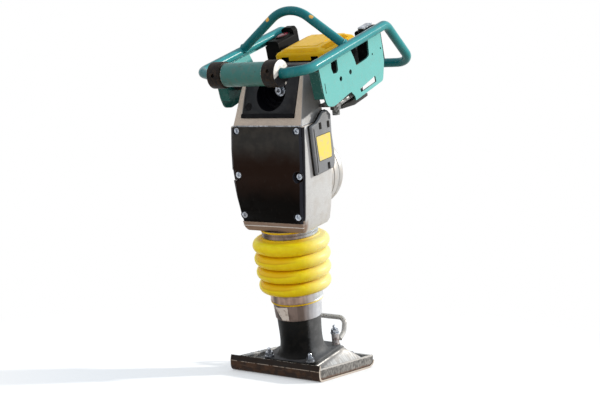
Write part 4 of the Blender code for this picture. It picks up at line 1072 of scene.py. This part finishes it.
redrawn("side_cover_moulding", "side_cover", "machine", grey_plastic, 1.4)
redrawn("side_cover_seal", "side_cover_gasket", "machine", gasket_rubber, 0.6)
plate_line = fillet([(-24.7, 646.6), (43.0, 646.9), (41.8, 583.7), (-18.7, 583.1)], 3.0)
border_line = fillet([(-26.0, 647.9), (44.2, 648.2), (43.0, 582.4), (-20.0, 581.8)], 4.0)
border = prism(border_line, COVER_FACE + 0.1, COVER_FACE + 0.45)
piece("plate_border", border, LEG, "machine", gasket_rubber)
plate = prism(plate_line, COVER_FACE + 0.2, COVER_FACE + 0.8)
piece("yellow_plate", plate, LEG, "machine", plate_yellow, edge=0.2)
groove = [(-31.0, 556.0), (-27.8, 556.0), (-28.0, 612.0), (-31.0, 668.0), (-34.2, 668.0), (-31.2, 612.0)]
groove = prism(groove, COVER_FACE, COVER_FACE + 0.5)
piece("cover_groove", groove, LEG, "machine", gasket_rubber)
hooks = []
for t, s, hang in CLIPS:
    hook = fillet([(t - 4.2, s - 8.0 * hang), (t + 4.2, s - 8.0 * hang), (t + 4.2, s + 9.0 * hang),
                   (t - 4.2, s + 9.0 * hang)], 1.2, 4)
    hooks.append(prism(hook, COVER_FACE - 2.2, COVER_FACE + 2.1))
piece("cover_clips", gathered(hooks), LEG, "machine", gasket_rubber, edge=0.6)


# Motor. A turned aluminium drum with a groove round it behind the crankcase, and a domed end cap
# held by six small screws. Its stator and windings sit inside.
MOTOR_S = 526.0
MOTOR_RADIUS = 100.0
DOME_SCREWS, SCREW_CIRCLE = 6, 76.0

motor_alloy, start, place = paint_on("turned_aluminium", LEG)
s = axes(place)[2]
turning = clouds(place, 1.4, 3.0, (0.05, 1.0, 0.05))
stain = patches(place, 26.0, 6.0, 0.46, 0.66)
soil = ramp(s + 20.0 * clouds(place, 20.0), 462.0, 436.0)
colour = coats(tint(ramp(turning, 0.3, 0.7), (0.44, 0.44, 0.43), (0.56, 0.56, 0.55)),
               (stain * 0.35, (0.42, 0.36, 0.30)), (soil * 0.7, (0.20, 0.135, 0.09)))
shade(start, colour, 0.38 + 0.15 * stain, turning, 0.08, metallic=0.45)

copper, start, place = paint_on("wound_copper", LEG)
strands = clouds(place, 1.2, 2.0, (1.0, 0.1, 1.0))
colour = tint(strands, (0.35, 0.13, 0.05), (0.62, 0.28, 0.12))
shade(start, colour, 0.35, strands, 0.2, metallic=0.9)

drum_rim = [(2.0, 62.3), (0.6, 62.9), (0.0, 64.4), (0.0, 86.6), (0.6, 87.4), (3.0, 87.8), (3.0, 91.2),
            (0.6, 91.6), (0.0, 92.4), (0.0, 112.4), (0.8, 114.4), (3.0, 115.0)]
drum_bore = [(81.0, 115.0), (81.0, 71.0), (30.0, 71.0)]
dome_rim = [(16.0, 144.0), (11.5, 143.4), (7.0, 141.6), (3.4, 138.6), (1.0, 135.0), (0.0, 131.0),
            (0.0, 118.2), (0.8, 116.6), (3.0, 115.6)]
dome_bore = [(79.0, 115.6), (79.0, 135.0), (14.0, 135.0), (14.0, 140.0), (0.0, 140.0)]
for name, node, first, rim, bore in (("motor_drum", "motor_housing", (30.0, 62.3), drum_rim, drum_bore),
                                     ("motor_dome", "motor_end_cap", (0.0, 144.0), dome_rim, dome_bore)):
    profile = [first] + [(MOTOR_RADIUS - inset, t) for inset, t in rim] + bore
    piece(name, moved(turned(profile, "t"), (0.0, 0.0, MOTOR_S)), LEG, "machine", motor_alloy,
          [node], sharp=28.0)
screws = []
for step in range(DOME_SCREWS):
    angle = 2.0 * math.pi * (step + 0.5) / DOME_SCREWS
    head = stack([(4.5, -0.5), (4.5, 2.4), (4.0, 3.0), (2.4, 3.0), (2.2, 2.6, True),
                  (2.2, 0.8, True)], 36)
    across, up = SCREW_CIRCLE * math.cos(angle), SCREW_CIRCLE * math.sin(angle)
    screws.append(moved(head, (across, 143.9, MOTOR_S + up), -90.0))
piece("dome_screws", gathered(screws), LEG, "machine", zinc, sharp=30.0)
dress(copper, "motor_stator")


# Mounts of the handle frame. Ribbed rubber buffers between the upper casing and the side plates, cast
# arms with hexagon studs below them, and two black steel beams that carry the battery's tray.
BUFFER_T, BUFFER_S = 46.0, 779.0

beam_paint, start, place = paint_on("black_beam_paint", LEG)
chipped = patches(place, 6.0, 5.0, 0.58, 0.66)
worn = chafed(place, 1.0, 6.0, 4.0, 0.42, 0.56)
colour = coats(tint(clouds(place, 20.0), (0.011, 0.012, 0.012), (0.026, 0.028, 0.027)),
               (chipped * 0.3, (0.10, 0.09, 0.08)), (worn * 0.6, (0.22, 0.22, 0.21)))
shade(start, colour, 0.45, clouds(place, 1.8, 3.0), 0.08, specular=0.15)

arm_iron, start, place = paint_on("dull_arm_iron", LEG)
grimy = patches(place, 7.0, 5.0, 0.40, 0.60)
colour = tint(grimy, (0.30, 0.31, 0.31), (0.060, 0.064, 0.060))
shade(start, colour, 0.38 + 0.2 * grimy, grimy, 0.1, metallic=0.5)

buffer = [(0.0, 97.4), (16.0, 97.4), (16.0, 111.0), (17.4, 113.0), (19.6, 114.4), (20.0, 116.0),
          (20.0, 127.0), (19.2, 129.6), (17.2, 132.4), (17.0, 134.0), (17.2, 135.6), (19.2, 138.4),
          (20.0, 141.0), (20.0, 151.0), (19.4, 152.0), (12.0, 152.2), (12.0, 156.6), (0.0, 156.6)]
over_beam = [(160.0, 745.0), (206.0, 752.2), (206.0, 770.0), (160.0, 770.0)]
for side, sign in SIDES:
    rubber = turned([(radius, sign * x) for radius, x in buffer], "x", 64)
    piece("rubber_buffer_" + side, moved(rubber, (0.0, BUFFER_T, BUFFER_S)), LEG, "machine", gasket_rubber,
          ["frame_buffer_" + side], sharp=30.0)
    redrawn("cast_arm_" + side, "mount_arm_" + side, "machine", arm_iron, 0.8)
    headroom = prism(over_beam, *mirrored(sign, 118.0, 150.0))
    headroom.transform(LEG)
    redrawn("carrier_beam_" + side, "tray_beam_" + side, "machine", beam_paint, 0.8,
            without=headroom)


# Handle rail. One closed loop of steel tube, cold bent and enamelled teal, painted paler on its sunlit
# side.
# The lifting bow of like tube stands on it, welded all round at both feet, its enamel worn down to an
# orange primer in two spots.
DECK_TILT = math.radians(8.85)
DECK_S = 839.3
DECK = LEG @ Matrix.Translation((0.0, 0.0, DECK_S)) @ Matrix.Rotation(DECK_TILT, 4, "X")
RAIL_X, RAIL_RADIUS = 165.0, 12.75
RAIL_BENDS = [30.0, 40.0, 44.0, 48.0]
ROLLER_U = -114.4
BOW_T, BOW_TOP, BOW_BEND, BOW_RADIUS = 104.0, 979.0, 93.0, 11.7
WORN_SPOTS = ((73.8, 94.0, 941.0, 8.5), (-63.8, 94.0, 937.0, 6.5))


def bead(path, radius, closed=False):
    """A weld bead: a rippled bar along a line, a scale every three millimetres or so."""
    line = [Vector(point) for point in path]
    points = []
    for low, high in zip(line, line[1:] + line[:1] if closed else line[1:]):
        count = max(1, round((high - low).length / 1.2))
        points += [low.lerp(high, step / count) for step in range(count)]
    ripples = [radius * (1.0 + 0.16 * math.sin(index * 2.2) + 0.10 * math.sin(index * 0.37))
               for index in range(len(points))]
    return tube(points, ripples, 10, closed)


def distance(place, point):
    return place.node("ShaderNodeVectorMath", {"operation": "DISTANCE"}, {0: place, 1: point}, "Value")


def near(place, point, reach_mm, blur):
    """1 within reach of a point, 0 past it."""
    away = distance(place, point) + blur * clouds(place, reach_mm * 0.5, 4.0)
    return ramp(away, reach_mm + blur * 0.6, reach_mm + blur * 0.3)


def teal_enamel(name, deep, painted_sun_tone):
    """Enamel painted paler as sunlight where it faces the machine's right."""
    paint, start, place = paint_on(name, LEG)
    soft_tone = clouds(place, 40.0, 3.0)
    dust = patches(place, 15.0, 6.0, 0.50, 0.72)
    scratched = patches(place, 3.4, 5.0, 0.66, 0.70, (0.5, 0.25, 1.0))
    chips = chafed(place, 1.3, 6.0, 5.0, 0.46, 0.58)
    colour = tint(soft_tone, deep, scaled(deep, 1.35))
    # Faces toward the sun are painted paler as sunlight.
    in_sun = start.math("MAXIMUM", ramp(axes(place)[0], -8.0, 8.0), ramp(axes(place)[2], 800.0, 822.0))
    lit = ramp(turned_to_side(start), 0.15, 0.85) * in_sun
    colour = coats(colour, (lit, tint(soft_tone, painted_sun_tone, scaled(painted_sun_tone, 1.12))),
                   (dust * 0.18, (0.16, 0.24, 0.22)), (scratched * 0.4, (0.26, 0.42, 0.40)),
                   (chips * 0.6, (0.50, 0.60, 0.58)))
    for *spot, reach_mm in WORN_SPOTS:
        colour = tint(near(place, spot, reach_mm, 5.0) * 0.9, colour, (0.88, 0.46, 0.08))
    shade(start, colour, 0.22 + 0.28 * dust, clouds(place, 5.0, 3.0) - chips * 0.6, 0.10, specular=0.16)
    return paint


teal = teal_enamel("teal_enamel", (0.004, 0.118, 0.132), (0.030, 0.27, 0.29))

half_rail = [(112.0, ROLLER_U, 0.0), (RAIL_X, -86.0, 0.0), (RAIL_X, 322.0, 0.0), (RAIL_X, 440.0, -142.0)]
other_half = [(-x, u, v) for x, u, v in reversed(half_rail)]
rail = tube(fillet(half_rail + other_half, RAIL_BENDS + RAIL_BENDS[::-1], 12), RAIL_RADIUS, 40, closed=True)
piece("rail_tube", rail, DECK, "handle_frame", teal, ["handle_rail"])

foot_s = DECK_S + BOW_T * math.tan(DECK_TILT)
crown = Vector((0.0, BOW_T, BOW_TOP))
bow_line = fillet([(-RAIL_X, BOW_T, foot_s), crown, (RAIL_X, BOW_T, foot_s)], BOW_BEND, 24, closed=False)
piece("bow_tube", tube(bow_line, BOW_RADIUS, 36), LEG, "handle_frame", teal, ["lifting_bow"])
along_t = Vector((0.0, 1.0, 0.0))
for side, sign in SIDES:
    foot = Vector((sign * RAIL_X, BOW_T, foot_s))
    lean_in = (crown - foot).normalized()
    across = lean_in.cross(along_t)
    ring = [foot + lean_in * (14.5 - 5.5 * back ** 2) + (across * out + along_t * back) * (BOW_RADIUS + 0.2)
            for out, back in around(36)]
    weld = bead(ring, 1.9, closed=True)
    piece("bow_weld_" + side, weld, LEG, "handle_frame", teal, sharp=60.0)


# Side plates. Cut from 4 mm steel sheet and enamelled with the rail they are welded under, with long
# slots, windows and holes, and folded in at the front. A weld bead runs along the rail.
PLATE_INNER, PLATE_OUTER = 157.0, 161.0
DRILLED = ((66.0, 779.3, 6.5), (116.7, 789.3, 6.5), (238.8, 818.5, 3.0), (286.7, 828.1, 3.0))


def rail_underside(t):
    """Height of the plates' upper edge, just inside the rail."""
    return DECK_S + t * math.tan(DECK_TILT) - 13.3 / math.cos(DECK_TILT)


outline = [(-36.0, rail_underside(-36.0)), (292.0, rail_underside(292.0)), (298.0, 830.0), (301.0, 790.0),
           (287.0, 741.0), (133.0, 712.5), (130.0, 724.0), (112.0, 738.0), (98.0, 735.5), (44.0, 721.7),
           (20.0, 716.5), (-10.0, 721.0), (-22.0, 748.0)]
radii = [0.0, 0.0, 30.0, 40.0, 14.0, 1.5, 7.0, 6.0, 0.0, 0.0, 25.0, 20.0, 40.0]
plate_edge = fillet(outline, radii, 8)
slot_hole = [(24.0, 826.0), (54.5, 831.0), (56.0, 803.0), (49.0, 797.0), (31.0, 797.0), (23.0, 812.0)]
window = [(127.0, 843.5), (221.5, 858.0), (221.0, 818.0), (208.0, 812.0), (150.0, 801.0), (143.0, 818.0)]
low_window = [(158.0, 738.0), (245.0, 760.0), (249.0, 744.0), (164.0, 729.0)]
slit = [(-12.5, 754.0), (-9.5, 754.0), (-12.5, 780.0), (-15.5, 780.0)]
holes = [fillet(slot_hole, [2.0, 1.0, 3.0, 3.0, 5.0, 4.0], 5),
         fillet(window, [1.0, 1.0, 5.0, 4.0, 3.0, 4.0], 5),
         fillet(low_window, 2.5, 5), fillet(slit, 1.3, 4)]
for t, s, radius in DRILLED:
    holes.append([(t + radius * across, s + radius * up) for across, up in around(36)])
fold = [(-36.0, 812.0), (-31.5, 812.0), (-16.5, 741.0), (-21.0, 741.0)]
plate_teal = teal_enamel("sunlit_teal_enamel", (0.008, 0.085, 0.075), (0.155, 0.475, 0.46))
for side, sign in SIDES:
    sheet = prism(plate_edge, *mirrored(sign, PLATE_INNER, PLATE_OUTER), holes=holes)
    sheet = cut(sheet, prism(fold, *mirrored(sign, 131.0, PLATE_INNER + 1.0)), "UNION")
    piece("plate_sheet_" + side, sheet, LEG, "handle_frame", plate_teal,
          ["side_plate_" + side], 0.6, 30.0)
    joint = [(sign * (PLATE_OUTER + 0.3), t, rail_underside(t) + 0.6) for t in (-34.0, 290.0)]
    piece("plate_weld_" + side, bead(joint, 1.7), LEG, "handle_frame", teal, sharp=60.0)


# Transport roller on the rail's front bar. A steel tube enamelled like the rail, scuffed by lorry
# beds, that spins between two clamped collars; each collar is black outside with a bare end face, and
# the right one has the rail's shadow painted on its end face, all but one small sunlit spot.
ROLLER_AXIS = DECK @ Matrix.Translation((0.0, ROLLER_U, 0.0))
ROLLER_RADIUS, ROLLER_HALF = 30.0, 62.5
COLLAR_RADIUS, COLLAR_END = 33.7, 101.6
GRUB_X = 82.5
SUNLIT_SPOT = (COLLAR_END, 12.0, -28.5)

roller_teal, start, place = paint_on("scuffed_teal_enamel", ROLLER_AXIS)
x = axes(place)[0]
rolled = clouds(place, 4.0, 5.0, (0.35, 1.0, 1.0))
dust = patches(place, 14.0, 6.0, 0.46, 0.68)
scuffed = patches(place, 6.0, 6.0, 0.62, 0.70, (0.4, 1.0, 1.0))
rim = ramp(abs(x), ROLLER_HALF - 3.5, ROLLER_HALF - 1.0)
colour = coats(tint(clouds(place, 30.0), (0.028, 0.145, 0.132), (0.045, 0.190, 0.172)),
               (dust * 0.4, (0.12, 0.15, 0.13)), (scuffed * 0.5, (0.035, 0.050, 0.045)),
               (rim * ramp(rolled, 0.45, 0.6) * 0.8, (0.45, 0.46, 0.45)))
shade(start, colour, 0.34 + 0.25 * dust, rolled - 0.4 * scuffed, 0.15, specular=0.3)

half_barrel = [(26.0, 55.0), (13.5, 55.0), (13.5, ROLLER_HALF), (29.2, ROLLER_HALF),
               (ROLLER_RADIUS, ROLLER_HALF - 0.9)]
barrel = half_barrel + [(radius, -x) for radius, x in reversed(half_barrel)]
piece("roller_barrel", turned(barrel, "x"), ROLLER_AXIS, "roller", roller_teal,
      ["roller_tube"], sharp=28.0)

collar_black, start, place = paint_on("worn_black_collar", ROLLER_AXIS)
x, u, v = axes(place)
end_face = ramp(abs(x), COLLAR_END - 0.9, COLLAR_END - 0.5)
dust = patches(place, 8.0, 6.0, 0.42, 0.66)
colour = tint(dust, (0.008, 0.006, 0.005), (0.034, 0.023, 0.016))
colour = tint(end_face, colour, tint(dust * 0.5, (0.66, 0.65, 0.62), (0.36, 0.33, 0.30)))
# The rail's shadow is painted on the right collar's end face, except a small sunlit spot.
rail_shadow = ramp(v - 0.21 * u, 3.8, 1.4) * ramp(x, 0.0, 10.0)
colour = tint(end_face * rail_shadow * ramp(distance(place, SUNLIT_SPOT), 3.5, 4.5), colour, (0.010, 0.009, 0.011))
shade(start, colour, 0.50 + 0.15 * dust, clouds(place, 2.0, 4.0), 0.15, metallic=0.3 * end_face,
      specular=0.15)
inner = ROLLER_HALF + 1.0
ring = [(13.4, inner), (32.8, inner), (33.4, inner + 0.4), (COLLAR_RADIUS, inner + 1.3),
        (COLLAR_RADIUS, COLLAR_END - 1.5), (33.4, COLLAR_END - 0.5), (32.8, COLLAR_END), (13.4, COLLAR_END)]
for (side, sign), degrees in zip(SIDES, (-14.0, -27.0)):
    bored = moved(drum(4.8, -60.0, -22.0, 40), (sign * GRUB_X, 0.0, 0.0), degrees)
    made = cut(turned([(radius, sign * x) for radius, x in ring], "x"), bored)
    piece("clamp_collar_" + side, made, ROLLER_AXIS, "handle_frame", collar_black,
          ["roller_collar_" + side], 0.4, 40.0)
    grub = stack([(4.5, 0.0), (4.5, 5.0), (2.6, 5.0), (2.4, 4.6, True), (2.4, 1.5, True)], 36)
    grub = moved(moved(grub, (0.0, -22.2, 0.0), 90.0), (sign * GRUB_X, 0.0, 0.0), degrees)
    piece("collar_grub_" + side, grub, ROLLER_AXIS, "handle_frame", spring_steel, sharp=30.0)


# Battery in its tray. The tray and the case are black, the lid is moulded in amber with a hatched
# shoulder all round, a raised middle and two finger notches. The latch holds it down.
LID_HALF_WIDTH, BATTERY_FRONT, BATTERY_REAR = 78.0, 129.5, 302.0
NOTCH_X, NOTCH_HALF = 46.0, 11.0
LID_LEVELS = ((-44.0, 0.6), (-43.2, 0.0), (-25.0, 0.0), (-22.5, 1.0), (-18.0, 5.0), (-10.0, 26.0),
              (-9.2, 29.0), (-9.0, 32.0))
HATCH_PITCH, HATCH_RADIUS = 4.0, 0.9


def lid_ring(v, inset):
    """Outline of the lid at a height, drawn in by inset."""
    half, front, rear = LID_HALF_WIDTH - inset, BATTERY_FRONT + inset * 0.6, BATTERY_REAR - inset * 0.6
    corners = [(-half, front), (half, front), (half, rear), (-half, rear)]
    return [(point.x, point.y, v) for point in fillet(corners, 7.0, 6)]


case_black, start, place = paint_on("moulded_black_plastic", DECK)
dust = patches(place, 14.0, 6.0, 0.46, 0.70)
rubbed = chafed(place, 1.4, 7.0, 4.0, 0.40, 0.58)
colour = tint(dust, (0.0030, 0.0030, 0.0030), (0.0095, 0.0090, 0.0085))
colour = tint(rubbed * 0.4, colour, (0.12, 0.12, 0.12))
shade(start, colour, 0.48 + 0.2 * dust, clouds(place, 1.2, 2.0), 0.1, specular=0.05)

amber, start, place = paint_on("amber_plastic", DECK)
faded = clouds(place, 26.0, 4.0)
dust = patches(place, 9.0, 6.0, 0.50, 0.72)
x, u, v = axes(place)
low_front = ramp(u, BATTERY_FRONT + 9.6, BATTERY_FRONT + 9.2)
beside = abs(abs(x) - NOTCH_X)
in_notch = ramp(beside, NOTCH_HALF + 0.4, NOTCH_HALF + 0.1) * ramp(v, -28.0, -28.4)
# The notches and the lid's lower front edge are painted near black as shade.
notch_shade = start.math("MAXIMUM", ramp(v, -38.6, -39.0), in_notch)
colour = coats(tint(faded, (0.76, 0.41, 0.004), (0.88, 0.52, 0.008)), (dust * 0.18, (0.50, 0.36, 0.12)),
               (notch_shade * low_front, (0.004, 0.004, 0.005)))
shade(start, colour, 0.36 + 0.2 * dust, clouds(place, 1.4, 2.0), 0.08, specular=0.12,
      more={"Subsurface Weight": 0.04, "Subsurface Radius": (0.003, 0.0015, 0.0004)})

redrawn("tray_shell", "battery_tray", "handle_frame", case_black, 1.0)
redrawn("battery_shell", "battery_case", "battery", case_black, sharp=35.0)
lid = loft([lid_ring(*level_at) for level_at in LID_LEVELS])
for x in (-NOTCH_X, NOTCH_X):
    lid = cut(lid, block((x - NOTCH_HALF, BATTERY_FRONT - 9.0, -60.0),
                         (x + NOTCH_HALF, BATTERY_FRONT + 9.0, -28.5)))
raised = fillet([(-40.0, 160.0), (40.0, 160.0), (40.0, 272.0), (-40.0, 272.0)], 8.0)
panel_rings = [[(point.x * size, 216.0 + (point.y - 216.0) * size, v) for point in raised]
               for v, size in ((-12.0, 1.0), (-8.4, 1.0), (-7.6, 0.985))]
lid = cut(lid, loft(panel_rings), "UNION")
piece("lid_moulding", lid, DECK, "battery", amber, ["battery_lid"], 0.5, 30.0)

hatching = []
for step in range(27):
    x = HATCH_PITCH * (step - 13)
    for edge_u, inward in ((BATTERY_FRONT, 1.0), (BATTERY_REAR, -1.0)):
        rib = [(x, edge_u + inward * 4.5, -16.6), (x, edge_u + inward * 14.5, -10.6)]
        hatching.append(tube(rib, HATCH_RADIUS, 8))
for step in range(31):
    u = 156.0 + HATCH_PITCH * step
    for sign in (-1.0, 1.0):
        hatching.append(tube([(sign * 71.5, u, -16.9), (sign * 54.5, u, -10.6)], HATCH_RADIUS, 8))
piece("lid_hatching", gathered(hatching), DECK, "battery", amber)


# Switch box on the left rail. Black moulding with a raised oval rim round one large red push button,
# dished to the thumb and glossy.
BUTTON_X, BUTTON_U = -131.0, 262.0
BOX_BENDS = [2.0, 4.0, 4.0, 4.0, 3.0, 2.0, 1.0]


def oval(half_length, half_width):
    """Outline of the push button and of all that lies round it."""
    return [(BUTTON_X + half_width * across, BUTTON_U + half_length * along)
            for across, along in around(72)]


red_gloss, start, place = paint_on("glossy_red_plastic", DECK)
worn = patches(place, 8.0, 5.0, 0.50, 0.70)
colour = tint(worn, (0.110, 0.004, 0.012), (0.190, 0.010, 0.020))
shade(start, colour, 0.22 + 0.2 * worn, clouds(place, 10.0, 2.0), 0.06, specular=0.4)

section = [(-156.6, -72.0), (-112.0, -72.0), (-112.0, -9.0), (-118.0, -3.0), (-151.0, -3.0),
           (-151.0, -16.0), (-156.6, -16.0)]
housing = prism(fillet(section, BOX_BENDS, 5), 206.0, 298.0, "t")
housing = cut(housing, prism(oval(30.0, 15.5), -5.0, 0.5, "s"), "UNION")
housing = cut(housing, prism(oval(26.0, 12.0), -14.0, 6.0, "s"))
piece("switch_housing", housing, DECK, "handle_frame", case_black, ["switch_box"], 1.4, 30.0)
hood_line = [(-154.5, -62.0), (-113.0, -62.0), (-113.0, 2.0), (-119.0, 12.5), (-147.0, 12.5), (-154.5, 3.0)]
hood = prism(fillet(hood_line, [2.0, 2.0, 5.0, 8.0, 8.0, 4.0], 6), 292.5, 314.0, "t")
piece("switch_hood", hood, DECK, "handle_frame", case_black, edge=4.0, sharp=40.0)
rings = []
for v, size in ((-10.0, 1.0), (-1.4, 1.0), (-0.2, 0.985), (1.0, 0.93), (1.9, 0.82), (2.3, 0.66), (2.2, 0.4),
                (2.0, 0.15)):
    rings.append([(x, u, v) for x, u in oval(25.4 * size, 11.4 * size)])
piece("red_button", loft(rings), DECK, "button", red_gloss, ["power_button"], sharp=50.0)


# Lock box on the right rail with the battery's latch. Black moulding, and on top of it a bent zinc
# lever that swings up about its front end, its rear end turned up for a finger.
LATCH_X, LATCH_U, LATCH_V = 131.0, 250.0, 10.0

section = [(156.6, -92.0), (114.0, -92.0), (114.0, 1.0), (118.0, 5.0), (150.0, 5.0), (150.0, -16.0),
           (156.6, -16.0)]
housing = prism(fillet(section, BOX_BENDS, 5), 239.0, 304.0, "t")
piece("lock_housing", housing, DECK, "handle_frame", case_black, ["lock_box"], 1.4, 30.0)
lever = fillet([(-4.0, -4.2), (38.0, -4.2), (46.0, 3.0), (38.0, 3.0), (4.0, 2.5), (-4.0, 2.0)],
               [3.0, 1.0, 1.0, 2.0, 1.0, 2.5], 5)
latch = moved(prism(lever, -9.0, 9.0), (LATCH_X, LATCH_U, LATCH_V))
piece("latch_lever", latch, DECK, "latch", zinc, ["battery_latch"], 0.5, 30.0)
